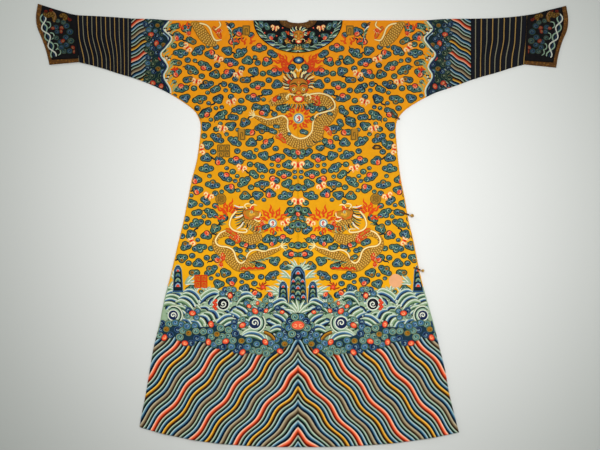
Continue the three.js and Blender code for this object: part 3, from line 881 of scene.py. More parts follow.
def cloud(work, spots, kinds, tail, angle, mirror=True, level=0):
    """Joined lobes, each given as x, depth and radius."""
    x, depth, first = spots[0]
    if tail:
        line = turned(CLOUD_HOOK, x, depth, angle, first / HOOK_RADIUS)
        work.stroke(line, 1.7, [OUTLINE], level, (1, 0.25), mirror)
    hull = list(spots)
    for i, (ax, ad, ar) in enumerate(spots):
        for bx, bd, br in spots[i + 1:]:
            if math.hypot(ax - bx, ad - bd) < LOBES_TOUCH * (ar + br) / 2:
                hull.append(((ax + bx) / 2, (ad + bd) / 2, (ar + br) / 2 * 0.97))
    fill = CLOUD_BLUE if kinds[0] == "blue" else CLOUD_GREEN
    for rise, (share, tone, segments) in enumerate(((1, OUTLINE, 14), (0.73, LEAF, 12), (0.6, fill, 10))):
        for dx, dd, r in hull:
            work.disc(dx, dd, r, [(share, tone)], level + rise, LOBE_SQUASH, 0, segments, mirror)
    for i, (dx, dd, r) in enumerate(spots):
        lobe(work, dx, dd, r, kinds[i], level + 3 + i, angle + i * 2, mirror)


def small_cloud(work, x, depth, size, angle, kinds, mirror=True):
    shape = np.array(CLOUD_SHAPES[len(kinds)])
    spots = turned(shape[:, :2], x, depth, angle, size)
    lobes = [(*spot, radius * size) for spot, radius in zip(spots, shape[:, 2])]
    cloud(work, lobes, kinds, False, angle, mirror, SMALL_CLOUD_LEVEL)


# What the clouds keep clear of: places and radii in picture units, for the left half
CLOUD_GAPS = table("x y wide high", [
    (299, 20.5, 51, 37.5), (299, 88, 20, 19), (278, 98, 13, 8), (265, 119, 16, 5.5), (299, 118, 15, 14),
    (284, 132, 16, 14), (299, 146, 18, 7), (250, 114, 8, 8), (283, 60, 9, 11), (299, 61, 11, 7),
    (245, 39, 8, 7.5), (246.6, 30.6, 5, 6), (242, 134.6, 6, 7), (224, 151, 9, 9), (221.3, 199, 8, 8),
    (201, 281.4, 9.5, 9.5), (299, 165, 8, 6), (299, 201.5, 8, 6), (275, 186, 7, 6), (242, 168, 7, 6),
    (232, 102, 7, 6), (223, 128.5, 6, 6), (202, 149.5, 5, 6), (209, 196, 6, 5), (192, 240.7, 6, 5),
    (218.5, 58.7, 7, 6), (239, 74, 7, 6), (188, 47.8, 6, 6), (197, 81.6, 6, 6), (286, 222.4, 6, 5),
    (250, 214, 17, 13), (231, 204, 16, 12), (273, 214, 14, 19), (232, 228, 14, 12), (255, 229, 17, 8),
    (224, 243, 14, 10), (238, 261, 16, 12), (254, 257, 13, 8), (270, 250, 18, 5), (252, 269, 16, 4),
    (299, 283, 14, 26), (284, 288, 12, 18), (266, 286, 12, 8), (181, 278, 11, 16), (212, 33, 24, 13),
    (299, 230, 8, 30), (298, 184, 10, 5), (165, 60, 9, 60), (159, 60, 12, 60),
])


FREE_LEFT, FREE_RIGHT, FREE_FOOT = 150, 300, 320


def free_ground():
    """A picture of one unit a cell: where the left half's yellow is free for clouds."""
    y, x = np.mgrid[0:FREE_FOOT, FREE_LEFT:FREE_RIGHT].astype(float)
    out, depth = CENTRE_PIXEL - x, y - SHOULDER_PIXEL
    inside = inside_outline(-out * UNIT, depth * UNIT) / UNIT
    free = (inside > 1.5) & (depth > 3.5) & (out < 126) & (depth < sea_top(out) - 3)
    for gx, gy, wide, high in rows_of(CLOUD_GAPS):
        free &= ((x - gx) / wide) ** 2 + ((y - gy) / high) ** 2 > 1
    return free


# The lobes of a cloud, by their number: x, depth and radius
CLOUD_SHAPES = {
    4: [(0, 0, 4.2), (4.6, 0.6, 3.5), (-4.4, 0.8, 3.5), (0.2, 3.2, 3.4)],
    3: [(0, 0, 4.1), (4.3, 0.2, 3.7), (1.4, 3.1, 3.4)],
    2: [(0, 0, 4.0), (4.2, 0.5, 3.6)],
    1: [(0, 0, 3.4)],
    0: [(0, 0, 2.5)],
}
CLOUD_CLEARANCE = 0.05
CLOUD_ROUNDS = ((4, 250), (3, 12000), (2, 22000), (1, 14000), (0, 9000))
CLOUD_ACROSS = (166, 297)
CLOUD_DOWN = (22, 300)
CORAL_SHARE = 0.36
OCHRE_SHARE = 0.55
TAIL_SHARE = 0.55


def scatter_clouds(work):
    """Clouds packed at random over the free ground, the largest first."""
    chance = random.Random(CLOUD_SEED)
    free = free_ground()
    taken = np.zeros((0, 3))
    for count, tries in CLOUD_ROUNDS:
        shape = np.array(CLOUD_SHAPES[count])
        for _ in range(tries):
            x, y = chance.uniform(*CLOUD_ACROSS), chance.uniform(*CLOUD_DOWN)
            angle = chance.uniform(-0.7, 0.7)
            if chance.random() < 0.5:
                angle += math.pi
            if not free[int(y), int(x) - FREE_LEFT]:
                continue
            spots = turned(shape[:, :2], x, y, angle)
            rows, columns = spots[:, 1].astype(int), spots[:, 0].astype(int) - FREE_LEFT
            if columns.min() < 0 or columns.max() >= free.shape[1] - 1 or rows.min() < 0:
                continue
            if not free[rows, columns].all():
                continue
            apart = np.hypot(taken[:, :1] - spots[:, 0], taken[:, 1:2] - spots[:, 1])
            gap = apart - taken[:, 2:] - shape[:, 2]
            to_mirror = CENTRE_PIXEL - spots[:, 0] - shape[:, 2]
            if gap.size and gap.min() < CLOUD_CLEARANCE or to_mirror.min() < 0.5:
                continue
            taken = np.concatenate([taken, np.column_stack([spots, shape[:, 2]])])
            kinds = [chance.choice(("blue", "teal")) for _ in range(len(shape))]
            draw = chance.random()
            if count > 1 and draw < OCHRE_SHARE:
                kinds[-1] = "coral" if draw < CORAL_SHARE else "ochre"
            lobes = [(*at(*spot), radius) for spot, radius in zip(spots, shape[:, 2])]
            cloud(work, lobes, kinds, chance.random() < TAIL_SHARE and count > 1, angle)


# Clouds about the centre line, and small ones among the lower dragons: the lobes' places, radii and kinds
CENTRE_CLOUDS = [
    [(0, 152.6, 3.6, "coral"), (4.6, 152, 3.6, "teal"), (3.4, 156.4, 3.4, "blue")],
    [(0, 187.4, 4.6, "blue"), (5.8, 188, 3.9, "blue")],
    [(0, 208.6, 4.6, "blue"), (6.6, 210.6, 4.3, "teal"), (3.6, 217.6, 3.3, "blue"), (0, 214.2, 3.0, "coral")],
    [(0, 224.4, 5.2, "blue"), (5.2, 225.4, 4.2, "teal"), (0, 229.4, 3.4, "ochre")],
    [(0, 245.4, 4.6, "blue"), (6.2, 245, 3.5, "teal")],
]
MIRRORED_BELOW = 200
SMALL_CLOUDS = [
    (292.4, 67.6, 1.2, 0.6, ("blue",)), (305.4, 67.6, 1.2, 0.6, ("teal",)),
    (229, 241.5, 0.95, 0.3, ("blue", "teal")), (243, 244.2, 0.85, 0.2, ("teal", "coral")),
    (240.2, 250.6, 0.95, 0.5, ("blue",)), (241.4, 256.6, 0.75, 0.4, ("teal", "ochre")),
    (262, 247, 0.85, 0.1, ("teal", "blue")), (275, 242, 0.8, 2.4, ("blue", "coral")),
    (265, 227.4, 0.75, -0.5, ("blue", "teal")), (292, 254, 0.9, 0, ("coral", "teal")),
    (272.6, 237.8, 0.85, 0.4, ("teal", "blue")), (247.6, 250.6, 0.6, 0, ("teal",)),
    (279.4, 98, 0.7, 2.2, ("blue",)), (320, 109.6, 0.85, -0.4, ("blue", "teal")),
    (312.6, 119, 0.7, 0.5, ("teal",)), (262.5, 113, 0.85, 0.2, ("coral", "blue")),
    (289.6, 134, 0.6, 0, ("blue",)), (303, 131.6, 0.8, 0.2, ("blue", "teal")),
]
ONE_SIDED_CLOUDS = table("x y size turn", [
    (342.5, 111, 0.95, 0.4), (349, 119.6, 0.95, 0.1), (340, 121.6, 0.85, 1.0), (261, 126.4, 0.85, 0.2),
    (272, 130.8, 0.8, 0.3), (275.8, 126.4, 0.6, 0), (384, 141, 0.8, 1.2), (322, 147.4, 0.8, 2.9),
    (256, 106, 0.85, 0.2), (329.6, 113.6, 0.55, 0.2),
])


def centre_clouds(work):
    """Clouds that stand on the centre line, mirrored about it."""
    for lobes in CENTRE_CLOUDS:
        for share, colour, rise in ((1, OUTLINE, 0), (0.76, LEAF, 1)):
            for x, y, radius, kind in lobes:
                lobe_at = x, y - SHOULDER_PIXEL, radius
                work.disc(*lobe_at, [(share, colour)], rise + 10, LOBE_SQUASH, 0, 14, x > 0)
        for i, (x, y, radius, kind) in enumerate(lobes):
            lobe(work, x, y - SHOULDER_PIXEL, radius, kind, 12 + 2 * i, 0.8, x > 0)
    for x, y, size, angle, kinds in SMALL_CLOUDS:
        small_cloud(work, *at(x, y), size, angle, kinds, y > MIRRORED_BELOW)
    for x, y, size, angle in rows_of(ONE_SIDED_CLOUDS):
        small_cloud(work, *at(x, y), size, angle, ("blue", "teal"), False)


# Bats: two pairs of pale wings, a red body and a forked tail

CORAL_PALE = thread(248, 146, 84)
WING = [(0.3, 0.2), (1.6, -3.0), (4.4, -3.6), (6.2, -1.4), (5.6, 1.0), (3.8, -0.2), (3.6, 3.2), (1.8, 2.4)]
WING_BANDS = [(1.1, CORAL_PALE), (0.86, CREAM), (0.5, PEACH), (0.34, CORAL)]
TAIL_CURL = [(1.0, 2.2), (2.6, 4.2), (3.8, 3.4)]
BAT_BODY = [(0, -2.0), (0, 0), (0, 2.4)]


def bat(work, x, depth, angle=0.0, size=0.9, mirror=True):
    for sign in (-1, 1):
        work.shape(turned(flipped(WING, sign), x, depth, angle, size), WING_BANDS, 2, mirror)
        tail = turned(flipped(TAIL_CURL, sign), x, depth, angle, size)
        work.stroke(tail, 0.9, [PEACH], 3, (0.6, 0.2), mirror)
    work.stroke(turned(BAT_BODY, x, depth, angle, size), 2.8 * size, [RED], 5, (0.5, 0.3), mirror)
    head = turned([(0, -1.6)], x, depth, angle, size)[0]
    work.disc(*head, size, [(1, CORAL), (0.5, RED)], 6, 1, 0, 8, mirror)


BATS = table("x y turn", [
    (275, 186, 0.5), (242, 168, 0.3), (232, 102, -0.3), (223, 128.5, 0.2), (202, 149.5, 1.4),
    (209, 196, 0.4), (192, 240.7, 1.2), (218.5, 58.7, 0.4), (239, 74, -0.5), (188, 47.8, 0.9),
    (197, 81.6, 0.2), (286, 222.4, -0.5),
])
CENTRE_BATS = (165, 201.5)

# Flames: tongues that lick up from one root

TONGUE = np.array([(0, 0), (1.2, -2.4), (-0.5, -4.8), (1.3, -7.4), (0.9, -9.6)])
TONGUE_LENGTH = 9.6
FLAME_LEVEL = 6


def flames(work, roots):
    """A long and a short tongue from each root."""
    for x, y, angle, size in roots:
        for turn, reach, width in ((0, 1, 1.7), (0.6, 0.72, 1.4)):
            line = turned(TONGUE * reach, *at(x, y), angle + turn, size)
            work.stroke(line, width, [RED, FIRE, FIRE], FLAME_LEVEL, (0.8, 0.12))


FLAMES = [(245, 45, -0.5, 1.1), (239, 43, -1.1, 0.9), (250, 44, 0.3, 1.1)]
# Fans of flames: their middle, how far from it they start, between which directions, how many and how long
BLAZES = table("x y radius first last count length mirrored", [
    (299, 118, 6.6, -172, -8, 11, 7.5, 0), (299, 118, 6.4, 14, 74, 5, 8, 0),
    (299, 118, 6.4, 106, 160, 4, 6.5, 0), (273.2, 222.6, 5.4, -168, -20, 10, 13, 1),
    (273.2, 222.6, 5.2, 38, 150, 6, 8, 1), (291, 73, 2.4, -164, -88, 7, 17, 1),
    (286.5, 63, 1.6, -178, -118, 4, 13, 1), (231, 221, 6, -168, -128, 3, 11, 1),
    (229, 215, 3, -150, -30, 8, 14, 1),
])
BLAZE_REACHES = (1.0, 0.66, 0.9, 0.74)


def blazes(work):
    for x, y, radius, first, last, count, length, mirrored in rows_of(BLAZES):
        px, pd = at(x, y)
        for i, direction in enumerate(np.radians(np.linspace(first, last, int(count)))):
            start = px + radius * math.cos(direction), pd + radius * math.sin(direction)
            line = TONGUE * length * BLAZE_REACHES[i % len(BLAZE_REACHES)] / TONGUE_LENGTH
            line = turned(line * (-1 if i % 2 else 1, 1), *start, direction + math.pi / 2)
            work.stroke(line, 1.75, [RED, FIRE, RED], FLAME_LEVEL + i % 2, (0.7, 0.15), bool(mirrored))


PEARLS = [(299, 118.5, 5.2, False), (273, 223.2, 4.4, True)]
PEARL_BANDS = [(1, MINT), (0.88, STEEL), (0.78, SKY), (0.7, WHITE)]
PEARL_COMMA = [(0.3, -0.1), (0.05, -0.42), (-0.22, -0.12), (0.16, 0.0), (0.2, 0.3), (-0.24, 0.62)]


def pearl(work, x, y, radius, level, mirror):
    px, pd = at(x, y)
    work.disc(px, pd, radius, PEARL_BANDS, level, 1, 0, 16, mirror)
    comma = [(px + radius * u, pd + radius * v) for u, v in PEARL_COMMA]
    work.stroke(comma, radius * 0.3, [RED], level + 1, (0.9, 0.4), mirror)


# Dragons: scaled bodies along a line, with a pale spine, a maned head, claws and a fringed tail

SKIN = thread(186, 132, 34)
SCALE_SHADE = thread(108, 70, 20)
SCALE_LIGHT = thread(222, 172, 74)
SCALE_STEP = 2.3


def scaled_body(work, points, level, mirror):
    """points carry x and y on the picture and the half width."""
    line = smooth(np.array([(*at(x, y), half) for x, y, half in points]), 1.0)
    xy, half = line[:, :2], np.maximum(line[:, 2], 0.4)
    along = direction_along(xy)
    normal = np.stack([-along[:, 1], along[:, 0]], -1)
    for extra, colour, rise in ((0.4, BROWN, 0), (0, SKIN, 1)):
        across = np.linspace(-1, 1, 6)[:, None, None]
        rows = xy + normal * (half + extra)[:, None] * across
        work.grid(rows[..., 0], rows[..., 1], level + rise, [colour] * (len(across) - 1), mirror)
    length = lengths_along(xy)
    for row, s in enumerate(np.arange(0.6, length[-1], SCALE_STEP)):
        centre = place_along(s, length, xy)
        direction = place_along(s, length, along)
        across = np.array([-direction[1], direction[0]])
        width = np.interp(s, length, half)
        count = int(width / SCALE_STEP) + 1
        for k in range(-count - 1, count + 1):
            offset = (k + 0.5 * (row % 2) + 0.25) * SCALE_STEP
            if abs(offset) > width - 0.5:
                continue
            spot = centre + across * offset
            work.disc(*spot, 1.12, [(1, SCALE_SHADE)], level + 2, 1, 0, 7, mirror)
            work.disc(*(spot + direction * 0.5), 0.82, [(1, SCALE_LIGHT)], level + 3, 1, 0, 7, mirror)


def spine(work, points, level, mirror, width):
    line = path(*points)
    work.stroke(line, width + 0.9, [AMBER], level, (0.8, 0.4), mirror)
    work.stroke(line, width, [CREAM], level + 1, (0.8, 0.4), mirror)


def tuft(work, x, y, angles, length, level, mirror):
    px, pd = at(x, y)
    for angle in angles:
        line = turned([(0, 0), (length * 0.5, -0.5), (length, 0.6)], px, pd, math.radians(angle))
        work.stroke(line, 0.8, [CREAM], level, (0.9, 0.1), mirror)


def claw(work, x, y, angle, level, mirror):
    px, pd = at(x, y)
    for turn in (-0.9, -0.3, 0.3, 0.9):
        line = turned([(0, 0), (2.4, -0.6), (4.2, 0.5)], px, pd, math.radians(angle) + turn)
        work.stroke(line, 1.3, [RED], level, (0.9, 0.2), mirror)
        work.stroke(line[-2:], 0.7, [CREAM], level + 1, (0.6, 0.3), mirror)
    work.disc(px, pd, 1.7, [(1, RED), (0.7, CORAL), (0.35, AMBER)], level + 2, 1, 0, 8, mirror)


def hair(work, roots, level, mirror, colours):
    """Short locks: each root has x, y, an angle in degrees and a length."""
    for i, (x, y, angle, length) in enumerate(roots):
        px, pd = at(x, y)
        line = turned([(0, 0), (length * 0.5, -0.7), (length, 0.5)], px, pd, math.radians(angle))
        work.stroke(line, 1.15, [colours[i % len(colours)]], level + i % 2, (0.9, 0.1), mirror)


def leg(work, points, level, mirror):
    """A bent leg with a red edge."""
    line = path(*points)
    work.stroke(line, 4.4, [RED, AMBER, GOLD, RED], level, (0.5, 0.5), mirror)
    for place in line[1:]:
        work.disc(place[0], place[1], 1.1, [(1, RED), (0.6, CORAL)], level + 1, 1, 0, 8, mirror)


# A dragon's parts, with x and y on the picture, and a half width at each place of a body
UPPER_DRAGON = {
    "mirror": False, "leg_level": 18, "spine_level": 18, "claw_level": 20,
    "legs": [
        [(311, 97), (316, 99), (319, 103), (315, 104.5)], [(281, 97.4), (276.4, 98.6), (274.6, 101.4)],
        [(276, 136), (281, 138), (285.6, 142.4)], [(324, 127), (328.6, 130.4), (331, 135)],
    ],
    "bodies": [
        (8, [(289, 96, 3.2), (282, 98.5, 4.6), (276, 101.5, 4.2), (270, 104, 2)]),
        (8, [(335, 107, 2.2), (333, 113, 4.4), (327, 119, 6), (319.5, 125, 6.2), (317, 135, 5.8),
             (309.5, 142, 5), (299.5, 144, 4.6), (289.5, 139.5, 4.6), (284, 130, 4.6), (283, 122, 4.5),
             (280, 119.5, 4), (275.5, 121.6, 3.2), (267.5, 122.4, 2.4), (259.4, 118.6, 1.6),
             (254, 115.6, 0.8)]),
        (12, [(304, 98.5, 2.2), (312, 99.5, 4.4), (320, 100, 5.4), (327, 102.5, 5), (331, 107, 3.4)]),
    ],
    "spines": [
        (1.35, [(304.6, 97), (311, 94.4), (321, 93.6), (330, 96.6), (335, 103.3), (334, 109.2), (326, 112),
                (317, 115), (313.5, 122.5), (312.2, 131.4), (307, 137.2), (299.5, 138.6), (291.8, 134.6),
                (288, 127.6), (288, 120), (283, 115.8), (275, 118), (267.6, 119.4), (260, 116.7),
                (254.8, 115.4)]),
        (1.0, [(288.5, 98), (289.5, 94.5), (293, 94)]),
    ],
    "tuft": (255.5, 115.4, (150, 180, 205, 230, 255), 7),
    "tuft_level": 18,
    "locks": [],
    "claws": [(275.5, 99.5, 160), (318.5, 98, 200), (281.5, 136, 240), (327, 129, 30)],
}
UPPER_FACE = (299, 87.5)
UPPER_LOCKS = [(318, 142, 190, 6), (323, 140, 160, 6), (326, 144, 150, 6), (312, 147, 200, 6)]
LOWER_DRAGON = {
    "mirror": True, "leg_level": 17, "spine_level": 20, "claw_level": 24,
    "legs": [
        [(226, 229), (231.6, 231.6), (237, 236), (239, 240.6), (234, 241), (230.6, 237)],
        [(255, 228.6), (261, 227.8), (266.6, 224.6)], [(219, 262), (223.4, 258), (223, 253.6)],
    ],
    "bodies": [
        (8, [(245.6, 219, 4), (251.6, 223.4, 5), (257.4, 229, 4.8), (261.4, 234.4, 3)]),
        (12, [(262, 236, 3), (254, 239, 5), (245, 240, 5), (237, 237, 5), (230, 233, 3.6), (223, 234, 2.6),
              (216.5, 239, 2.2), (216, 246, 3), (221, 251.5, 4.5), (228, 254.5, 5.4), (233, 260, 6),
              (239, 266, 5), (247, 266, 4.4), (252.5, 260, 4.4), (259, 255.5, 4), (267, 253.5, 3),
              (275, 251, 1.8), (281, 248, 1)]),
    ],
    "spines": [
        (1.4, [(237, 211), (232, 217), (230, 224.5), (233, 229.4), (240, 232), (246.8, 232), (246.6, 229.2),
               (241, 229)]),
        (1.4, [(226, 230.6), (220.2, 233.4), (216, 240.7), (219.5, 245.6), (227.9, 247), (232.4, 249.2),
               (234.9, 252.7), (236.2, 257.2), (238.6, 261.4), (241.4, 263), (244.4, 261.6), (246.9, 257.2),
               (249, 253.2), (252.8, 250.4), (258, 249.8), (264, 251.2), (271.6, 248.8), (279, 247),
               (283, 243)]),
    ],
    "tuft": (281.5, 247, (-75, -50, -20, 10, 35), 6.5),
    "tuft_level": 22,
    "locks": [
        ([(244, 207 + 1.9 * i, 188 - 7 * i, 10) for i in range(9)], (WHITE, OUTLINE, LEAF, OUTLINE)),
        ([(245 + 3.1 * i, 223 + 0.9 * i, 118 - 4 * i, 6) for i in range(6)], (MOSS, OUTLINE, SAGE)),
        ([(250 + 2.8 * i, 262 - 0.5 * i, 20 - 6 * i, 8) for i in range(7)], (LEAF, OUTLINE, SAGE)),
        ([(214 + 3 * i, 227 - i, -10, 7) for i in range(3)], (LEAF, OUTLINE)),
    ],
    "claws": [(236, 237, 20), (262, 224, -20), (222, 264, 130), (224, 258, 200)],
}


def dragon(work, parts):
    """Legs, body, spine, tail tuft, locks and claws of one dragon."""
    mirror = parts["mirror"]
    for points in parts["legs"]:
        leg(work, points, parts["leg_level"], mirror)
    for level, points in parts["bodies"]:
        scaled_body(work, points, level, mirror)
    for width, points in parts["spines"]:
        spine(work, points, parts["spine_level"], mirror, width)
    tuft(work, *parts["tuft"], parts["tuft_level"], mirror)
    for roots, tones in parts["locks"]:
        hair(work, roots, 18, mirror, tones)
    for x, y, angle in parts["claws"]:
        claw(work, x, y, angle, parts["claw_level"], mirror)


def upper_dragon(work):
    """The dragon on the chest of the back, with its head to the front."""
    dragon(work, UPPER_DRAGON)
    face_front(work, *UPPER_FACE, 1.12, False)
    hair(work, UPPER_LOCKS, 20, False, (OUTLINE, MOSS))


FACE_HALF = [
    (0, -8.4), (4.4, -7.8), (7.8, -4.8), (8.7, -0.4), (7.4, 3.6), (5.4, 6.8), (5.2, 10.6), (2.8, 13.2),
]
FACE_SKIN = [(1.04, BROWN), (0.96, AMBER), (0.8, GOLD), (0.5, PALE_GOLD), (0.34, GOLD), (0.2, AMBER)]
FACE_LOCKS = (OUTLINE, OUTLINE, CREAM, CREAM, NAVY, NAVY, OUTLINE, OUTLINE, MINT, MINT)
MOUTH = [(-4.4, 8.6), (0, 7.2), (4.4, 8.6), (4.2, 12.2), (0, 13.8), (-4.2, 12.2)]
# Marks on each half of a face: a line, its width, its tone and its level
HORNS = [
    ([(2.6, -8.6), (3.4, -12), (6.6, -13.6), (5.4, -16.4)], 1.5, CREAM, 26),
    ([(0.4, -14.2), (2.4, -16.6), (5.2, -15.6)], 1.3, CREAM, 26),
]
FACE_MARKS = [
    ([(0.8, -1.4), (3.6, -3.6), (7.4, -2.4)], 1.3, BROWN, 26),
    ([(1.2, -0.4), (4.4, -1.6), (7.6, -0.2)], 1.1, RED, 26),
    ([(7.2, -6.4), (9.4, -5.2), (8.4, -2.6)], 1.9, RED, 26),
    ([(6.2, 3.4), (8.0, 2.0), (8.8, 3.4)], 1.6, RED, 26),
    ([(2.6, 5.4), (5.2, 6.4), (6.6, 9.4)], 1.0, BROWN, 26),
    ([(3.4, 7.2), (8, 6), (11, 9), (9.4, 11.4)], 1.1, CREAM, 27),
]
EYE = (4.5, 1.9)


def face_front(work, x, y, size, mirror, horned=True):
    """A dragon's head seen from the front."""
    px, pd = at(x, y)
    locks = []
    for i, angle in enumerate(np.linspace(-80, 10, 13)):
        reach = math.radians(angle)
        for sense in (-1, 1):
            spot = x + sense * 7.4 * size * math.cos(reach), y + (7.0 * math.sin(reach) - 0.6) * size
            locks.append((*spot, angle if sense > 0 else 180 - angle, (10.5 - abs(i - 5) * 0.6) * size))
    hair(work, locks, 20, False, FACE_LOCKS)
    outline = FACE_HALF + [(-u, v) for u, v in reversed(FACE_HALF[1:])]
    work.shape(turned(outline, px, pd, 0, size), FACE_SKIN, 24, mirror)
    for sign in (-1, 1):
        for points, width, tone, level in (HORNS if horned else []) + FACE_MARKS:
            line = turned(flipped(points, sign), px, pd, 0, size)
            work.stroke(line, width * size, [tone], level, (0.7, 0.3), mirror)
        eye = turned([(EYE[0] * sign, EYE[1])], px, pd, 0, size)[0]
        work.disc(*eye, 1.6 * size, [(1, BROWN), (0.8, CREAM), (0.42, NIGHT)], 27, 0.8, 0, 10, mirror)
    brow, nose = [(1, RED), (0.6, PALE_GOLD)], [(1, BROWN), (0.85, FIRE), (0.55, PALE_GOLD)]
    work.disc(px, pd - 4.6 * size, 1.6 * size, brow, 27, 0.8, 0, 10, mirror)
    work.disc(px, pd + 4.8 * size, 2.8 * size, nose, 28, 0.7, 0, 12, mirror)
    work.shape(turned(MOUTH, px, pd, 0, size), [(1.06, RED), (0.84, CORAL), (0.62, CREAM)], 28, mirror)
    beard = []
    for k in range(-6, 7):
        beard.append((x + k * 1.9 * size, y + (15.0 - 0.1 * abs(k)) * size, 90 - 12 * k, 4.6 * size))
    hair(work, beard, 20, False, (OUTLINE, SAGE, OUTLINE, LEAF))


# The head of a lower dragon, in pattern units about its middle
SIDE_HEAD = (249.5, 214)
SKULL = [
    (-6.5, -2), (-3.5, -6), (2, -6.6), (5.4, -3.2), (10.5, -2.2), (12.5, 1.4), (9, 3.4), (5, 3.6),
    (1, 6.4), (-4.5, 5),
]
SKULL_BANDS = [(1.06, BROWN), (0.96, AMBER), (0.7, GOLD), (0.35, PALE_GOLD)]
SKULL_MARKS = [
    ([(3.4, 5.4), (7.5, 4.6), (11.5, 5.4)], 1.5, RED), ([(5, 3.2), (9, 3.4), (12, 1.6)], 1.2, CORAL),
    ([(-1, -4.6), (3, -4.8), (5.6, -2.6)], 1.3, RED), ([(-4.4, 0.6), (-2.6, 3.2), (0.6, 4.2)], 1.1, FIRE),
    ([(9.6, -2.6), (11.6, -1.6), (12, 0.4)], 1.4, FIRE), ([(-4, -3), (-2, -4.6), (-0.6, -3)], 0.9, BROWN),
    ([(6, 3.9), (8.6, 4.0), (10.4, 3.4)], 0.8, WHITE),
]
WHISKERS = [
    [(6.5, 3.8), (10.5, 2.2), (11.2, -2.0)], [(-2, -5), (-4.5, -8.6), (-1.5, -10.4), (2.0, -9.6)],
    [(1, -6), (4, -9.4), (8, -8.6)], [(5, 5), (9, 7.4), (12, 6.0)],
]
BELLY_EDGE = (240, 270.4), (262, 269.6)
BELLY_FOLDS = 4
BELLY_START = (241, 269.4)
BELLY_CREST = 267.6


def lower_dragon(work):
    """One of the two walking dragons below the waist, with its mirror image."""
    dragon(work, LOWER_DRAGON)
    px, pd = at(*SIDE_HEAD)
    work.shape(turned(SKULL, px, pd), SKULL_BANDS, 22)
    for line, width, tone in SKULL_MARKS:
        work.stroke(turned(line, px, pd), width, [tone], 24, (0.6, 0.3))
    work.disc(px + 2.6, pd - 2.0, 1.6, [(1, NIGHT), (0.8, CREAM), (0.45, NIGHT)], 26, 1, 0, 10)
    work.disc(px + 3.6, pd - 6.6, 1.7, [(1, RED), (0.5, CORAL)], 26, 1, 0, 8)
    for line in WHISKERS:
        work.stroke(turned(line, px, pd), 1.1, [CREAM], 26, (0.8, 0.2))
    first_x, first_y = BELLY_START
    for i in range(BELLY_FOLDS):
        x, y = first_x + 6 * i, first_y - 0.3 * i
        work.stroke(path((x, y), (x + 3, BELLY_CREST), (x + 6, y)), 1.9, [RED], 22, (0.8, 0.6))
    work.stroke(path(*BELLY_EDGE), 0.9, [AMBER], 23, (0.8, 0.4))


SHOULDER_BODY = [(192, 23, 2), (197, 26, 4), (201, 31, 5), (205, 37, 5), (211, 42, 4.4), (217, 44, 2.4)]
SHOULDER_SPINE = [(200, 23.4), (206.5, 25), (210.5, 29), (212.5, 35), (216, 40.4), (222, 39.8)]
SHOULDER_LEG = [(213, 27), (218, 32), (221, 38)]
SHOULDER_BONE = [(219.6, 21.6), (221, 25.4), (218, 28.4), (215.4, 30)]
SHOULDER_LOCKS = [(226 + 0.7 * i, 22.6 + 1.9 * i, 38 + 4 * i, 7.5) for i in range(11)]
SHOULDER_CLAWS = [(190, 33, 150, 14), (219, 30, 60, 16)]
SHOULDER_FLAMES = [(183, 30, -0.6, 0.9), (188, 29, -0.1, 0.9)]


def shoulder_dragon(work):
    """The part of each shoulder's dragon that comes over the fold to the back."""
    scaled_body(work, SHOULDER_BODY, 8, True)
    spine(work, SHOULDER_SPINE, 14, True, 1.4)
    for x, y, angle, level in SHOULDER_CLAWS:
        claw(work, x, y, angle, level, True)
    leg(work, SHOULDER_LEG, 13, True)
    spine(work, SHOULDER_BONE, 15, True, 1.2)
    hair(work, SHOULDER_LOCKS, 12, True, (OUTLINE, NAVY, WHITE, LEAF, OUTLINE, SAGE))
    flames(work, SHOULDER_FLAMES)


# Small emblems: plain frets of short bars

def fret(work, x, y, wide, high, colour, level=4, mirror=True, ground=None):
    """A squared spiral, as on a plain key border."""
    px, pd = at(x, y)
    if ground is not None:
        corners = [(-wide, -high), (wide, -high), (wide, high), (-wide, high)]
        work.shape(turned(corners, px, pd, 0, 0.55), [(1, ground)], level, mirror)
    u, v = wide / 2, high / 2
    inner, low = u * 0.35, v * 0.4
    corners = [(-u, v), (-u, -v), (u, -v), (u, v), (-inner, v), (-inner, -low), (inner, -low), (inner, low)]
    corners = [(px + a, pd + b) for a, b in corners]
    for pair in zip(corners, corners[1:]):
        work.stroke(pair, 1.15, [colour], level + 1, (1, 1), mirror)


OLIVE = thread(116, 88, 26)
SINGLE_FRETS = [(246.6, 30.6, 9, 4), (242, 134.6, 10, 40)]
FOUR_FRETS = [((224, 151), 5.6, OLIVE, GOLD), ((201.4, 281.4), 5.8, RED, AMBER)]
FRET_STEP = 3.1
MEDALLIONS = [(221.3, 199), (376, 199)]
MEDALLION_BANDS = [(1, OLIVE), (0.84, GOLD), (0.72, OLIVE), (0.62, GOLD)]
PLAIN_DISC = (396, 280.7)
SMALL_FIGURE = (377, 147)
FIGURE_OUTLINE = [(-5, 1), (-2, -2.4), (3, -2), (6, 1), (3, 2.6), (-3, 2.6)]
FIGURE_BANDS = [(1, OUTLINE), (0.75, BROWN), (0.4, GOLD)]
NECK_DISC = (299, 60.4)
NECK_DISC_BANDS = [(1, NIGHT), (0.86, NAVY), (0.66, STEEL), (0.36, SKY), (0.2, WHITE)]
SPRIG = (171.5, 70)
SPRIG_LINES = [
    [(0, 0), (4, -0.6), (8, 0.4)], [(2, -0.2), (4.4, -3.4)], [(4.6, -0.4), (7, -3)], [(3, 0), (5.4, 2.8)],
]
WEED = (263.5, 287)
WEED_BLADES = ((-2.4, 6), (-1.7, 5), (-1.0, 6), (-0.2, 7), (0.8, 4), (2.2, 4), (3.0, 7))


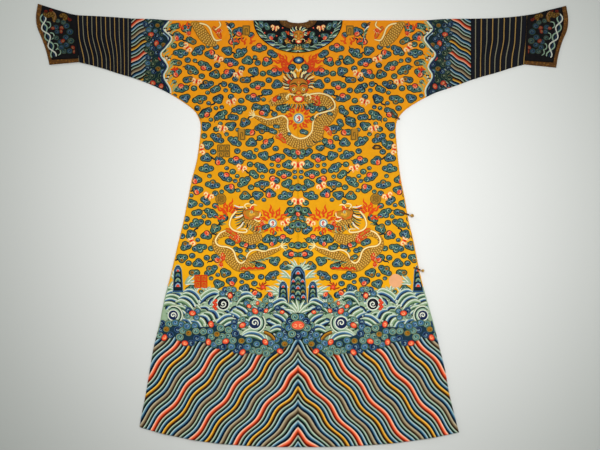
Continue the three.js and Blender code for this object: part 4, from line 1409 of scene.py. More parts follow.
def emblems(work):
    for x, y, high, level in SINGLE_FRETS:
        fret(work, x, y, 6.5, high, OLIVE, level, ground=GOLD)
    for dx in (-FRET_STEP, FRET_STEP):
        for dy in (-FRET_STEP, FRET_STEP):
            for (x, y), size, tone, ground in FOUR_FRETS:
                fret(work, x + dx, y + dy, size, size, tone, mirror=False, ground=ground)
    for x, y in MEDALLIONS:
        work.disc(*at(x, y), 5.6, MEDALLION_BANDS, 12, 1, 0, 18, False)
        fret(work, x, y, 4.4, 4.4, OLIVE, 16, False)
    work.disc(*at(*PLAIN_DISC), 6.8, [(1, thread(236, 172, 122))], 4, 1, 0, 24, False)
    work.shape(turned(FIGURE_OUTLINE, *at(*SMALL_FIGURE)), FIGURE_BANDS, 4, False)
    work.disc(*at(*NECK_DISC), 5.6, NECK_DISC_BANDS, 12, 0.68, 0, 18, False)
    for line in SPRIG_LINES:
        work.stroke(turned(line, *at(*SPRIG)), 1.5, [RED], 4, (0.8, 0.3))
    for angle, length in WEED_BLADES:
        line = turned([(0, 0), (length * 0.5, -1.0), (length, 0.8)], *at(*WEED), angle)
        work.stroke(line, 1.5, [RED, BROWN], 4, (0.9, 0.2))
    work.disc(*at(*WEED), 2.4, [(1, RED), (0.6, CORAL)], 5, 1, 0, 8)


# Rocks: tall stepped peaks with a pale rim, filled with rising scales

SCALE_TONES = {
    "coral": (NAVY, SKY, RED, CORAL), "blue": (OUTLINE, LEAF, STEEL, NAVY),
    "ochre": (OUTLINE, LEAF, OCHRE, BROWN), "teal": (OUTLINE, SAGE, TEAL, OUTLINE),
}
# Half a rock's outline going down: its half width and how far down, as shares
ROCK_PROFILE = table("wide down", [
    (0.02, 0), (0.26, 0.004), (0.5, 0.07), (0.73, 0.16), (0.82, 0.4), (0.92, 0.7), (1.0, 1.0),
])
ROCK_STEPS = 19
ROCK_BANDS = [(1.08, MINT), (1.03, NAVY), (0.95, STEEL), (0.87, NIGHT), (0.76, OUTLINE)]


def rock(work, x, top, bottom, width, mirror, level, scales):
    """scales are rows of x from the rock's middle, y on the picture, half width and kind."""
    px, head = at(x, top)
    half, tall = width / 2, bottom - top
    steps = np.linspace(0, len(ROCK_PROFILE["wide"]) - 1, ROCK_STEPS)
    wide, down = (np.interp(steps, range(len(shares)), shares) for shares in ROCK_PROFILE.values())
    sides = list(zip(wide * half, head + down * tall))
    outline = [(px + u, v) for u, v in sides] + [(px - u, v) for u, v in reversed(sides[1:])]
    work.shape(outline, ROCK_BANDS, level, mirror, (px, head + tall * 0.62))
    for i, (dx, y, size, kind) in enumerate(scales):
        work.arcs(px + dx, y - SHOULDER_PIXEL + size, 0, size, math.pi, 2 * math.pi, SCALE_TONES[kind],
                  level + 2 + i, 1.4, mirror or dx != 0)


def fronds(work, x, y, angles, lengths, level, mirror=True):
    """Curling sprays of foam from one root."""
    px, pd = at(x, y)
    for i, angle in enumerate(angles):
        length = lengths[i % len(lengths)]
        bend = 1.6 if angle > -90 else -1.6
        line = turned([(0, 0), (length * 0.5, bend * 0.3), (length, bend * 1.4)], px, pd, math.radians(angle))
        work.stroke(line, 2.3, [SAGE, MINT, WHITE], level, (1, 0.15), mirror)
        for share in (0.45, 0.7, 0.95):
            root = line[0] + (line[-1] - line[0]) * share
            barb = turned([(0, 0), (1.6, -1.0)], *root, math.radians(angle))
            work.stroke(barb, 0.8, [MINT], level, (0.9, 0.3), mirror)


CENTRE_SCALES = [
    (0, 270.5, 3.6, "coral"), (0, 276.5, 4.6, "teal"), (4.6, 279, 3.0, "coral"), (0, 281.5, 3.2, "ochre"),
    (4.8, 284.5, 2.9, "blue"), (0, 285.5, 3.4, "coral"), (5.0, 289.5, 3.0, "ochre"), (0, 290.8, 3.8, "teal"),
    (5.4, 294.5, 3.4, "coral"), (0, 296.2, 3.2, "blue"), (5.6, 299.5, 2.8, "ochre"), (0, 300.5, 3.0, "ochre"),
]
SIDE_SCALES = [
    (0, 284.5, 2.8, "coral"), (0, 289, 3.4, "teal"), (0, 293, 3.6, "blue"), (0, 297.5, 3.4, "coral"),
]
EDGE_SCALES = [
    (0, 268.5, 2.8, "coral"), (0, 273, 3.4, "blue"), (0, 278, 3.6, "teal"), (0, 283, 3.8, "coral"),
]


# Sprays about the rocks: their root on the picture, directions and lengths, and whether they are mirrored
ROCK_SPRAYS = [
    (298.4, 272, (-150, -135, -115, -100, -80, -65, -45, -30), (9, 13, 14, 13), False),
    (290.4, 278, (-158, -142, -126), (9, 11, 12), True),
    (288, 288, (-170, -152, -134, -116), (10, 13, 14), True),
    (281, 294, (-176, -158, -140, -122), (11, 14, 15), True),
    (186, 284, (-75, -55, -35, -15), (9, 12, 10), True),
    (175, 280, (-120, -100, -80), (11, 15, 12), True),
]
# The peaks: x, top and bottom on the picture, width, whether mirrored, level and scales
ROCKS = [
    (283.6, 282, 304, 10, True, 8, SIDE_SCALES), (178.4, 266, 292, 10, True, 8, EDGE_SCALES),
    (298.4, 267, 305, 17.5, False, 18, CENTRE_SCALES),
]
PLUME_DROP = 293.5
PLUME_ANGLES = (-152, -128, -108, -90, -72, -52, -28)


def rocks(work):
    for x, y, angles, lengths, mirror in ROCK_SPRAYS:
        fronds(work, x, y, angles, lengths, 4, mirror)
    for place in ROCKS:
        rock(work, *place)
    for i, angle in enumerate(PLUME_ANGLES):
        bend = 2.0 if angle > -90 else -2.0
        line = turned([(0, 0), (7, 0.4), (15, bend)], 0, PLUME_DROP, math.radians(angle))
        tones = [SAGE, WHITE, MINT, SAGE] if i % 2 else [MINT, WHITE, LEAF]
        work.stroke(line, 3.2, tones, 36 + i % 2, (0.8, 0.1), False)


# The sea: groups of satin rolls, whorls and foam

ROLL_TONES = (
    (MINT, WHITE, SKY, STEEL, STEEL, NAVY, NAVY, NIGHT), (SAGE, WHITE, MINT, LEAF, MOSS, OUTLINE, OUTLINE),
    (MINT, WHITE, SKY, STEEL, NAVY, NIGHT, NIGHT), (SAGE, WHITE, MINT, SAGE, LEAF, MOSS),
)
# Each group: a first roll's places, the next one's shift, how many, their width and the tones to start with
ROLLS = [
    ([(411, 300), (417, 294), (424, 292), (432, 295)], (1.5, 3.8), 4, 3.9, 0),
    ([(377, 292.5), (383, 289.6), (391, 293), (398, 300)], (-1.4, 3.5), 2, 3.6, 3),
    ([(396, 300), (401, 293.5), (407, 290.6), (413, 292)], (2.6, 3.4), 4, 3.9, 0),
    ([(343.5, 297), (348.5, 293.4), (355, 294.8), (361, 301.5)], (-1.6, 3.6), 2, 3.9, 0),
    ([(309.5, 303), (315, 299.6), (322, 302.6), (330, 309)], (-2, 3.4), 2, 3.8, 0),
    ([(331, 312), (337, 306), (343, 303.5)], (3, 3), 2, 3.4, 3),
    ([(344, 314), (349, 307), (357, 303)], (3.3, 3.2), 4, 4.0, 1),
    ([(303, 319), (308, 311.5), (317, 307)], (3.2, 3.6), 5, 3.9, 2),
    ([(378, 318), (381.5, 312), (388, 310)], (4.4, 2.7), 6, 4.2, 0),
    ([(409, 313), (413, 308), (421, 306.5), (428, 309)], (1, 3.8), 2, 3.6, 1),
    ([(364, 315.4), (371.5, 316.6), (380, 323)], (-2.2, 3.6), 4, 4.2, 0),
    ([(343, 321), (349, 316.5), (356, 317)], (2.4, 3.4), 3, 3.4, 1),
    ([(405, 326), (409, 320.5), (416, 319.5)], (3.6, 2.8), 3, 3.8, 0),
    ([(312, 329), (318, 326), (326, 329)], (1, 3.8), 2, 3.6, 0),
    ([(329, 341), (334, 332), (345, 329.4), (356, 335)], (1.4, 3.6), 3, 4.0, 3),
    ([(366, 331), (371, 327.5), (378, 330)], (2, 3.4), 2, 3.4, 1),
]
FOAM_SEED = 5
FOAM_DOTS = 420
FOAM_TONES = (MINT, WHITE, WHITE, MINT, NIGHT, OUTLINE, MOSS, RED)
FOAM_ACROSS = (300, 430)
FOAM_DOWN = (286, 336)
SHORT_ROLLS = {
    "columns": 16, "rows": 8, "first": (303, 289), "step": (8.2, 6.2), "shift": (2, 1.5), "foot": 318,
}
ROLL_BREADTH = 1.22
TIP_DOTS = (WHITE, NIGHT, MINT)


def foam_dots(work, chance):
    for _ in range(FOAM_DOTS):
        x = chance.uniform(*FOAM_ACROSS)
        px, pd = at(x, chance.uniform(*FOAM_DOWN))
        if pd > sea_top(px) + 2:
            tone = chance.choice(FOAM_TONES)
            work.disc(px, pd, chance.uniform(0.5, 0.95), [(1, tone)], 1, 1, 0, 6)


def short_rolls(work, chance):
    """Scattered short rolls that fill the sea between the groups."""
    (first_x, first_y), (step_x, step_y) = SHORT_ROLLS["first"], SHORT_ROLLS["step"]
    shift_x, shift_y = SHORT_ROLLS["shift"]
    for column in range(SHORT_ROLLS["columns"]):
        for row in range(SHORT_ROLLS["rows"]):
            x = first_x + step_x * column + chance.uniform(-shift_x, shift_x)
            px, pd = at(x, first_y + step_y * row + chance.uniform(-shift_y, shift_y))
            if not sea_top(px) + 3 < pd < SHORT_ROLLS["foot"]:
                continue
            sense = chance.choice((-1, 1))
            line = [(-4.5 * sense, 3), (-1 * sense, -1), (4.5 * sense, -1.6)]
            line = turned(line, px, pd, chance.uniform(-0.3, 0.3))
            work.stroke(line, 3.9, ROLL_TONES[(column + row) % len(ROLL_TONES)], 2 + row % 2, (0.5, 0.3))


def waves(work):
    """Rolls from the skyline down, so that the nearer ones lie over the farther, on a ground of foam."""
    chance = random.Random(FOAM_SEED)
    foam_dots(work, chance)
    short_rolls(work, chance)
    level = 4
    for places, shift, count, width, start in ROLLS:
        for i in range(count):
            line = path(*places) + np.array(shift) * i
            tones = ROLL_TONES[(start + i) % len(ROLL_TONES)]
            work.stroke(line, width * ROLL_BREADTH, tones, level, (0.5, 0.3))
            for tone in TIP_DOTS:
                place = line[0] + np.array([chance.uniform(-1.6, 1.2), chance.uniform(-1.4, 1.6)])
                work.disc(*place, 0.7, [(1, tone)], level + 1, 1, 0, 6)
            level += 1


WHORLS = table("x y radius dark", [(373.1, 303.8, 6.2, 1), (341.6, 322.6, 6.6, 0), (423, 315, 5.2, 0)])


BEADS = {"at": (380.5, 304.5), "count": 5, "sway": 1.6, "step": 2, "bands": [(1, RED), (0.4, CORAL)]}
FISH = [(321.5, 339.5), (326, 334.5), (332.5, 331.5)]


def whorls(work):
    for x, y, radius, dark in rows_of(WHORLS):
        px, pd = at(x, y)
        rim, tone, turn, start = (MINT, NIGHT, (-2.7, 0.6), 0.6) if dark else (SAGE, NAVY, (1.9, 5.0), 2.4)
        work.arcs(px, pd, radius, radius + 5, *turn, (rim, WHITE, MOSS, OUTLINE, MINT, WHITE), 60)
        work.disc(px, pd, radius + 0.9, [(1, MINT), (0.9, WHITE), (0.78, tone)], 64, 1, 0, 20)
        work.spiral(px, pd, radius * 0.58, 1.3, 1.15, WHITE, 66, start)
    px, pd = at(*BEADS["at"])
    for i in range(BEADS["count"]):
        place = px + (i % 2) * BEADS["sway"], pd - 4 + i * BEADS["step"]
        work.disc(*place, 1.8, BEADS["bands"], 68, 1, 0, 8)
    work.stroke(path(*FISH), 4.4, [NIGHT, GOLD, OCHRE, BROWN], 70, (0.7, 0.7))


SKYLINE_SPRAYS = [
    (170, 288, (-110, -80, -50)), (196, 292, (-100, -70)), (206, 291, (-120, -90, -60)),
    (243, 294, (-110, -80)), (254, 298, (-90, -60)), (270, 303, (-130, -100, -70)), (276, 301, (-110, -85)),
]


def sea_foam(work):
    """Pale sprays that rise from the skyline of the sea."""
    for x, y, angles in SKYLINE_SPRAYS:
        fronds(work, x, y, angles, (5, 7, 6), 1)


# The bank of curled clouds over the stripes

BANK_CORAL = [
    (193, 313), (211.6, 324), (243, 325), (255.6, 311), (165, 337.4), (185.5, 343), (209, 341.8),
    (226.3, 341), (265.8, 341.8), (243, 352), (280.5, 351), (230.7, 295.4),
]
BANK_OCHRE = [(167, 329), (189.3, 333), (217.4, 334), (242, 340.6), (285, 343.7)]
BANK_GROUND = thread(22, 50, 68)
BANK_KINDS = ("blue", "teal", "blue", "teal", "navy")
BANK_SEED = 23
BANK_TRIES = 9000
BANK_LEFT, BANK_RIGHT = 150, 296
BANK_RADIUS = (3.9, 4.6)
BANK_CLEARANCE = 5.6
CLUSTERS = [
    (223, 293.5), (238.5, 294), (226, 289.5), (234, 289.4), (230, 289), (224, 298), (236, 298.5),
    (189, 310), (198, 311), (188, 316), (197, 317.5), (251, 308), (261, 309), (250.5, 314), (260, 314.5),
    (247, 303), (243, 319), (235, 322), (247, 323.5), (266, 300), (271, 305), (263, 305), (278, 308),
]
CLUSTER_RADIUS = 3.5
CLUSTER_CORAL = [
    (230.7, 295.4, 3.4), (266.5, 310.5, 2.8), (249.5, 306, 2.8), (258, 303, 2.4), (282.6, 312, 2.8),
]
ROSETTE_DROP = 325 - SHOULDER_PIXEL
ROSETTE_CURLS = 9
ROSETTE_KINDS = ("blue", "navy", "teal")
ROSETTE_BANDS = [(1, NIGHT), (0.92, SAGE), (0.84, NIGHT), (0.76, CORAL)]
# What a curl shows, from its rim inwards, and its spiral
CURL_TONES = {
    "blue": (OUTLINE, LEAF, STEEL, NAVY, SKY), "teal": (OUTLINE, SAGE, TEAL, OUTLINE, MINT),
    "navy": (NIGHT, STEEL, NAVY, NIGHT, SKY), "coral": (OUTLINE, RED, CORAL, CORAL, PEACH),
    "ochre": (OUTLINE, LEAF, OCHRE, BROWN, GOLD), "deep": (NIGHT, LEAF, OUTLINE, NIGHT, SAGE),
    "still": (NIGHT, STEEL, NIGHT, NIGHT, SKY),
}


def curl(work, x, depth, radius, kind, level, turn, mirror=True):
    rim, line, core, dark, mark = CURL_TONES[kind]
    bands = [(1, rim), (0.86, line), (0.72, core), (0.3, dark)]
    squash, lean = (0.78, turn) if kind == "coral" else (0.9, 0)
    work.disc(x, depth, radius, bands, level, squash, lean, 12, mirror)
    work.spiral(x, depth, radius * 0.44, 0.85, 0.7, mark, level + 1, turn, 1, mirror)


def bank_edges(x):
    """The top and the foot of the bank at a place on the picture."""
    return np.interp(x, BANK_TOP["x"], BANK_TOP["y"]), np.interp(x, BANK_FOOT["x"], BANK_FOOT["y"])


def bank_ground(work):
    xs = np.linspace(BANK_LEFT, CENTRE_PIXEL, 60)
    down = np.linspace(0, 1, 9)[:, None]
    across = np.repeat(xs[None] - CENTRE_PIXEL, len(down), axis=0)
    top, foot = bank_edges(xs)
    depth = mix(top - SHOULDER_PIXEL, foot - SHOULDER_PIXEL, down)
    for sign in (-1, 1):
        work.grid(across * sign, depth, 60, [BANK_GROUND] * (len(down) - 1), False)


def rosette(work):
    """The round flower of curls in the middle of the bank."""
    work.disc(0, ROSETTE_DROP + 1, 13, [(1, OUTLINE), (0.9, BANK_GROUND)], 83, 1.05, 0, 24, False)
    for i in range(ROSETTE_CURLS):
        angle = 2 * math.pi * (i + 0.5) / ROSETTE_CURLS - math.pi / 2
        place = 9.2 * math.cos(angle), ROSETTE_DROP + 1 + 10 * math.sin(angle)
        curl(work, *place, 4.5, ROSETTE_KINDS[i % 3], 85 + i % 3, i, False)
    work.disc(0, ROSETTE_DROP, 8.2, ROSETTE_BANDS, 90, 0.66, 0, 20, False)
    for sign in (-1, 1):
        work.spiral(sign * 2.6, ROSETTE_DROP, 2.3, 1.0, 0.7, PEACH, 92, 1.5 - sign * 1.2, sign, False)


def bank(work):
    bank_ground(work)
    chance = random.Random(BANK_SEED)
    spots = [(x, y, BANK_RADIUS[0]) for x, y in BANK_CORAL + BANK_OCHRE]
    for _ in range(BANK_TRIES):
        x = chance.uniform(BANK_LEFT, BANK_RIGHT)
        y = chance.uniform(*bank_edges(x))
        if all((x - px) ** 2 + (y - py) ** 2 > BANK_CLEARANCE ** 2 for px, py, _ in spots):
            spots.append((x, y, chance.uniform(*BANK_RADIUS)))
    spots += [(x, y, CLUSTER_RADIUS) for x, y in CLUSTERS] + CLUSTER_CORAL
    for i, (x, y, radius) in enumerate(spots):
        coral = (x, y) in BANK_CORAL or (x, y, radius) in CLUSTER_CORAL
        kind = "coral" if coral else "ochre" if (x, y) in BANK_OCHRE else BANK_KINDS[i % len(BANK_KINDS)]
        low = 76 if kind in ("coral", "ochre") else 62
        curl(work, *at(x, y), radius, kind, low + i % 7, i * 1.3)
    rosette(work)


# The sleeve bands: curled clouds and a crest line beside the stripes

BAND_CORAL = [(151.5, 34.5), (157, 43.5), (161.5, 58.5), (161.5, 86.5), (153.5, 83)]
BAND_OCHRE = [(158, 25.5), (164, 45), (158.5, 69)]
BAND_KINDS = ("still", "deep", "navy", "deep", "blue")
BAND_SEED = 9
BAND_TRIES = 6000
BAND_DOWN = (18, 94)
BAND_LEFT, BAND_RIGHT = 146, 164.5
BAND_CLEARANCE = 4.6


def sleeve_bands(work):
    chance = random.Random(BAND_SEED)
    spots = BAND_CORAL + BAND_OCHRE
    for _ in range(BAND_TRIES):
        y = chance.uniform(*BAND_DOWN)
        x = chance.uniform(BAND_LEFT, min(BAND_RIGHT, crest_x(y) - 1))
        if all((x - px) ** 2 + (y - py) ** 2 > BAND_CLEARANCE ** 2 for px, py in spots):
            spots = spots + [(x, y)]
    for i, spot in enumerate(spots):
        kind = "coral" if spot in BAND_CORAL else "ochre" if spot in BAND_OCHRE else BAND_KINDS[i % 5]
        curl(work, *at(*spot), chance.uniform(2.9, 3.5), kind, 12 + i % 5, i * 1.7)


FOAM_GREEN = thread(172, 170, 92)
# The crest's lines: how far sideways, width, tone and level
CREST_LINES = ((-1.8, 2.2, NAVY, 30), (-0.6, 0.8, MINT, 31), (0.2, 0.85, WHITE, 32))
CREST_FOAM = {"count": 21, "first": 24, "step": 3.4}
CREST_DOTS = [(165, 28.6), (168.6, 31.4), (166.4, 56.6), (168.8, 58.4), (168, 75.6), (166.6, 78.6)]
BAND_ROLLS = [
    ([(163.4, 33.6), (167.4, 36.4), (169.4, 41.4)], [WHITE, SKY, NIGHT]),
    ([(165, 47), (163.4, 50.4), (159.4, 53)], [MINT, LEAF, OUTLINE]),
    ([(163.4, 58), (165.8, 62), (166.6, 67.4)], [WHITE, SKY, NIGHT]),
    ([(166, 71), (163.6, 74.6), (161, 75.6)], [MINT, LEAF, OUTLINE]),
    ([(163.6, 80), (166.4, 84.6), (168.6, 90.6)], [WHITE, SKY, NIGHT]),
    ([(167.6, 24), (164.6, 27.6), (160.6, 29)], [MINT, LEAF, OUTLINE]),
]


def band_crest(work):
    """The pale crest line between the sleeve bands and the yellow, with foam on its yellow side."""
    line = path(*rows_of(CREST_LINE))
    for shift, width, colour, level in CREST_LINES:
        work.stroke(line + np.array([shift, 0]), width, [colour], level, (1, 1))
    for i in range(CREST_FOAM["count"]):
        y = CREST_FOAM["first"] + i * CREST_FOAM["step"]
        px, pd = at(crest_x(y) + 2.2, y)
        spray = turned([(0, 0), (3.5, -0.8), (7.5, 0.4)], px, pd, -0.75 - 0.1 * (i % 3))
        work.stroke(spray, 1.5, [FOAM_GREEN, SAGE], 3, (0.9, 0.2))
    for x, y in CREST_DOTS:
        for i, tone in enumerate((NIGHT, WHITE, NIGHT)):
            work.disc(*at(x + i * 0.9, y + (i % 2) * 1.5), 0.85, [(1, tone)], 33, 1, 0, 6)


def wave_ground(work):
    """Short pale rolls behind the crest line of the sleeve bands."""
    for line, tones in BAND_ROLLS:
        work.stroke(path(*line), 2.6, tones, 28, (0.5, 0.3))


# Collar and cuffs, on their black ground

COLLAR_ROPE = [
    (254.6, 20), (256, 27), (260, 33), (264.6, 38.6), (271.4, 43.4), (284, 49), (291, 50.5), (299.5, 51),
    (302, 51),
]
ROPE_STEP = 4
ROPE_RUN = 9
COLLAR_CLOUDS = [
    (262, 26, ("blue", "teal")), (270, 36, ("blue", "teal", "coral")), (281, 42, ("blue", "teal")),
    (268, 28, ("teal", "blue")), (289, 46, ("blue", "teal")), (284, 34, ("teal", "blue")),
]
COLLAR_DOTS = [(265, 33), (277, 36), (283, 28), (290, 41), (259, 24)]
COLLAR_BODY = [(286, 40, 1.2), (289.5, 44.5, 2), (294, 47, 2.4), (299, 47.6, 2.4)]
COLLAR_BAT = (275.3, 28)
COLLAR_FACE = (299, 35.5)
COLLAR_FLAMES = [(289, 35, -0.8, 0.5), (288, 40, -1.2, 0.5)]


def collar_work():
    work = Stitching("collar_stitching", "black_silk", keep_on_collar)
    line = smooth(path(*COLLAR_ROPE), 1.15)
    for i, first in enumerate(range(0, len(line) - ROPE_RUN + 1, ROPE_STEP)):
        run = line[first:first + ROPE_RUN]
        along = (run[-1] - run[0]) / np.hypot(*(run[-1] - run[0]))
        normal = np.array([-along[1], along[0]])
        leaf = [run[0] + normal * 2.2, run[3] + normal * 0.6, run[6] - normal * 1.0, run[8] - normal * 1.8]
        inner = (NIGHT, NAVY, STEEL) if i % 2 else (OUTLINE, OUTLINE, LEAF)
        work.stroke(leaf, 5.6, (MINT, *inner, SAGE, WHITE), 4 + i % 3, (0.3, 0.3))
    for x, y, kinds in COLLAR_CLOUDS:
        small_cloud(work, *at(x, y), 0.8, x, kinds)
    bat(work, *at(*COLLAR_BAT), 0.2, 0.7)
    for x, y in COLLAR_DOTS:
        work.disc(*at(x, y), 0.8, [(1, CORAL)], 3, 1, 0, 6)
    scaled_body(work, COLLAR_BODY, 8, True)
    face_front(work, *COLLAR_FACE, 0.6, False, False)
    flames(work, COLLAR_FLAMES)
    return work.build()


CUFF_CHAIN = [(43.6, 14), (43.8, 20), (45, 28), (47.6, 35.5), (50.4, 43), (52.6, 50), (54.6, 57)]
CHAIN_GLOW = 3.0
CUFF_LOBES = [
    (56.5, 27.5, 2.6, "blue"), (67, 26, 2.8, "blue"), (70.5, 32, 3.0, "blue"), (57.6, 32, 2.2, "blue"),
    (66.5, 37.5, 2.7, "blue"), (61, 42, 2.6, "blue"), (71.5, 41, 2.8, "teal"), (62, 47.4, 2.6, "blue"),
    (67, 45, 2.6, "blue"), (64.6, 51.4, 2.5, "teal"), (70, 51.2, 2.7, "blue"), (57, 38, 2.2, "teal"),
    (62.4, 28, 2.1, "coral"), (61.6, 31.6, 1.9, "coral"), (63.4, 41, 2.1, "coral"),
    (73.6, 47.6, 1.9, "coral"), (75, 51.6, 1.9, "coral"), (53.4, 28.4, 1.8, "coral"),
    (58.5, 21, 2.0, "teal"), (64, 22.5, 2.2, "teal"),
]


CUFF_BODIES = [
    [(44, 13.5, 1), (48, 15.5, 2.2), (52, 14.6, 2.6), (55, 17, 2.2), (54.5, 21.5, 1.4)],
    [(60.5, 17, 1.2), (63, 15.4, 2.2), (66.5, 17.2, 2.0), (64.6, 20, 1.4)],
]
CUFF_SPINE = [(53, 11.5), (55.8, 14), (55.4, 18), (54, 22.5)]
CUFF_HOOKS = [(50, 25), (53.5, 36), (57.5, 46.5), (60, 52)]
CUFF_HOOK = [(-3, -3), (0.4, -2.4), (1.2, 1.4), (-1.4, 3.6)]
CUFF_KNOTS = [(68, 18.5), (70.5, 20), (51.5, 10.6), (46.6, 11.4)]
CUFF_STRENGTH = 0.23
CUFF_STRETCH = {"left": 1, "right": -1.027}
CUFF_CURL = 1.34
CHAIN_SWING = 2.7
CHAIN_CYCLE = 19


def cuff_work(side):
    work = Stitching("cuff_" + side.name + "_stitching", "black_silk", keep_on_cuff, CUFF_STRENGTH)

    def place(x, y):
        return CUFF_STRETCH[side.name] * (x - CENTRE_PIXEL), y - SHOULDER_PIXEL

    chain = smooth(np.array([place(x, y) for x, y in CUFF_CHAIN]), 0.8)
    along = direction_along(chain)
    normal = np.stack([-along[:, 1], along[:, 0]], -1)
    length = lengths_along(chain)
    work.stroke(chain, 5.4, [NAVY, STEEL, OUTLINE, NAVY], 3, (0.6, 0.6), False)
    for phase, colour in ((0, MINT), (math.pi, WHITE)):
        swing = CHAIN_SWING * np.sin(length * 2 * math.pi / CHAIN_CYCLE + phase)
        line = chain + normal * swing[:, None]
        work.stroke(line, 1.25, [np.array(colour) * CHAIN_GLOW], 8, (0.9, 0.9), False)
    for x, y in CUFF_HOOKS:
        hook = turned(CUFF_HOOK, *place(x, y))
        work.stroke(hook, 1.0, [np.array(MINT) * CHAIN_GLOW], 7, (0.6, 0.4), False)
    for i, (x, y, radius, kind) in enumerate(CUFF_LOBES):
        curl(work, *place(x, y), radius * CUFF_CURL, kind, 10 + i % 4, i * 1.3, False)
    for body in CUFF_BODIES:
        moved = [(CENTRE_PIXEL + place(x, y)[0], y, half) for x, y, half in body]
        scaled_body(work, moved, 14, False)
    work.stroke([place(x, y) for x, y in CUFF_SPINE], 0.9, [PEACH], 20, (0.8, 0.3), False)
    for x, y in CUFF_KNOTS:
        work.disc(*place(x, y), 1.7, [(1, RED), (0.5, BROWN)], 9, 0.8, 0, 8, False)
    return work.build()


# Materials: procedural silks

WEAVE_BUMP = 0.0002
BUMP_STRENGTH = 0.5
GRAIN_SCALE = 900
FIELD_SOFTNESS = 0.35
MOTTLE = {"scale": 60, "detail": 3.0, "swing": 0.24, "least": 0.88}


class Silk:
    """One procedural material."""

    def __init__(self, name, roughness, sheen=0.01, weave=1.0):
        self.material = bpy.data.materials.new(name)
        self.material.use_nodes = True
        self.nodes, self.links = self.material.node_tree.nodes, self.material.node_tree.links
        self.shader = self.nodes["Principled BSDF"]
        for key, value in (("Roughness", roughness), ("Sheen Weight", sheen), ("Sheen Roughness", 0.5),
                           ("Specular IOR Level", 0.07)):
            self.shader.inputs[key].default_value = value
        self.spot = self.nodes.new("ShaderNodeTexCoord").outputs["Object"]
        self.bump_distance = WEAVE_BUMP * weave

    def add(self, kind, **settings):
        node = self.nodes.new("ShaderNode" + kind)
        for key, value in settings.items():
            setattr(node, key, value)
        return node

    def join(self, source, target):
        if isinstance(source, (int, float)):
            target.default_value = source
        elif isinstance(source, tuple):
            target.default_value = (*source, 1)
        else:
            self.links.new(source, target)

    def math(self, operation, a, b=0.0, c=0.0):
        node = self.add("Math", operation=operation)
        for socket, value in zip(node.inputs, (a, b, c)):
            self.join(value, socket)
        return node.outputs[0]

    def field(self, name):
        return self.add("Attribute", attribute_name=name).outputs["Fac"]

    def noise(self, scale, detail=2.0):
        node = self.add("TexNoise")
        self.join(self.spot, node.inputs["Vector"])
        node.inputs["Scale"].default_value = scale
        node.inputs["Detail"].default_value = detail
        return node.outputs["Fac"]

    def ramp(self, share, stops, constant=False):
        node = self.add("ValToRGB")
        node.color_ramp.interpolation = "CONSTANT" if constant else "LINEAR"
        elements = node.color_ramp.elements
        while len(elements) < len(stops):
            elements.new(0.5)
        for element, (position, colour) in zip(elements, sorted(stops, key=lambda stop: stop[0])):
            element.position = position
            element.color = (*colour, 1)
        self.join(share, node.inputs["Fac"])
        return node.outputs["Color"]

    def blend(self, share, a, b, kind="MIX"):
        node = self.add("MixRGB", blend_type=kind)
        for socket, value in zip(node.inputs, (share, a, b)):
            self.join(value, socket)
        return node.outputs["Color"]

    def between(self, value, low, high):
        """From 0 at low to 1 at high, whichever is the larger."""
        node = self.add("MapRange")
        self.join(value, node.inputs["Value"])
        node.inputs["From Min"].default_value = low
        node.inputs["From Max"].default_value = high
        return node.outputs["Result"]

    def above(self, name):
        """1 where a field is above zero."""
        return self.between(self.field(name), -FIELD_SOFTNESS, FIELD_SOFTNESS)

    def finish(self, colour):
        """Mottles the colour a little and adds the fine grain of the weave."""
        grain = self.noise(GRAIN_SCALE, 1.0)
        mottle = self.noise(MOTTLE["scale"], MOTTLE["detail"])
        shade = self.math("MULTIPLY_ADD", mottle, MOTTLE["swing"], MOTTLE["least"])
        grey = self.add("CombineColor")
        for socket in grey.inputs[:3]:
            self.join(shade, socket)
        self.join(self.blend(1.0, colour, grey.outputs[0], "MULTIPLY"), self.shader.inputs["Base Color"])
        bump = self.add("Bump")
        bump.inputs["Strength"].default_value = BUMP_STRENGTH
        bump.inputs["Distance"].default_value = self.bump_distance
        self.join(grain, bump.inputs["Height"])
        self.join(bump.outputs["Normal"], self.shader.inputs["Normal"])
        return self.material


# The stripes of one cycle, going down: width as a share of 255, then tones from the lit edge to the dark one
STRIPES = [
    (34, "coral"), (24, "green"), (28, "blue"), (31, "yellow"), (25, "green"), (30, "blue"), (31, "taupe"),
    (24, "green"), (28, "blue"),
]
STRIPE_TONES = {
    "coral": (thread(255, 214, 182), thread(255, 120, 80), thread(226, 70, 22), thread(92, 16, 2)),
    "yellow": (thread(252, 206, 84), thread(220, 150, 28), thread(112, 62, 4), thread(24, 10, 0)),
    "taupe": (thread(200, 186, 152), thread(158, 140, 108), thread(112, 90, 62), thread(34, 24, 10)),
    "blue": (thread(198, 222, 220), thread(90, 144, 168), thread(30, 66, 104), thread(0, 4, 12)),
    "green": (thread(214, 228, 202), thread(118, 152, 130), thread(26, 54, 48), thread(0, 4, 3)),
}


# Where the share of a stripe's width passes from each tone to the next
STRIPE_FADES = ((0.04, 0.3), (0.28, 0.54), (0.47, 0.73))


def shaded_stripes(silk, phase):
    """Satin stripes over one cycle of phase, each lit along its upper edge and dark along its lower one."""
    within = silk.math("FRACT", phase)
    total = float(sum(width for width, _ in STRIPES))
    starts = np.concatenate([[0], np.cumsum([width for width, _ in STRIPES])]) / total
    saw = []
    for start, end in zip(starts, starts[1:]):
        saw += [(start, (0.0,) * 3), (end - 0.5 / total, (1.0,) * 3)]
    share = silk.ramp(within, saw)

    def tone(i):
        return silk.ramp(within, [(s, STRIPE_TONES[name][i]) for s, (_, name) in zip(starts, STRIPES)], True)

    colour = tone(0)
    for i, (low, high) in enumerate(STRIPE_FADES):
        colour = silk.blend(silk.between(share, low, high), colour, tone(i + 1))
    return colour


SLEEVE_DULL = (0.55, 0.55, 0.55)


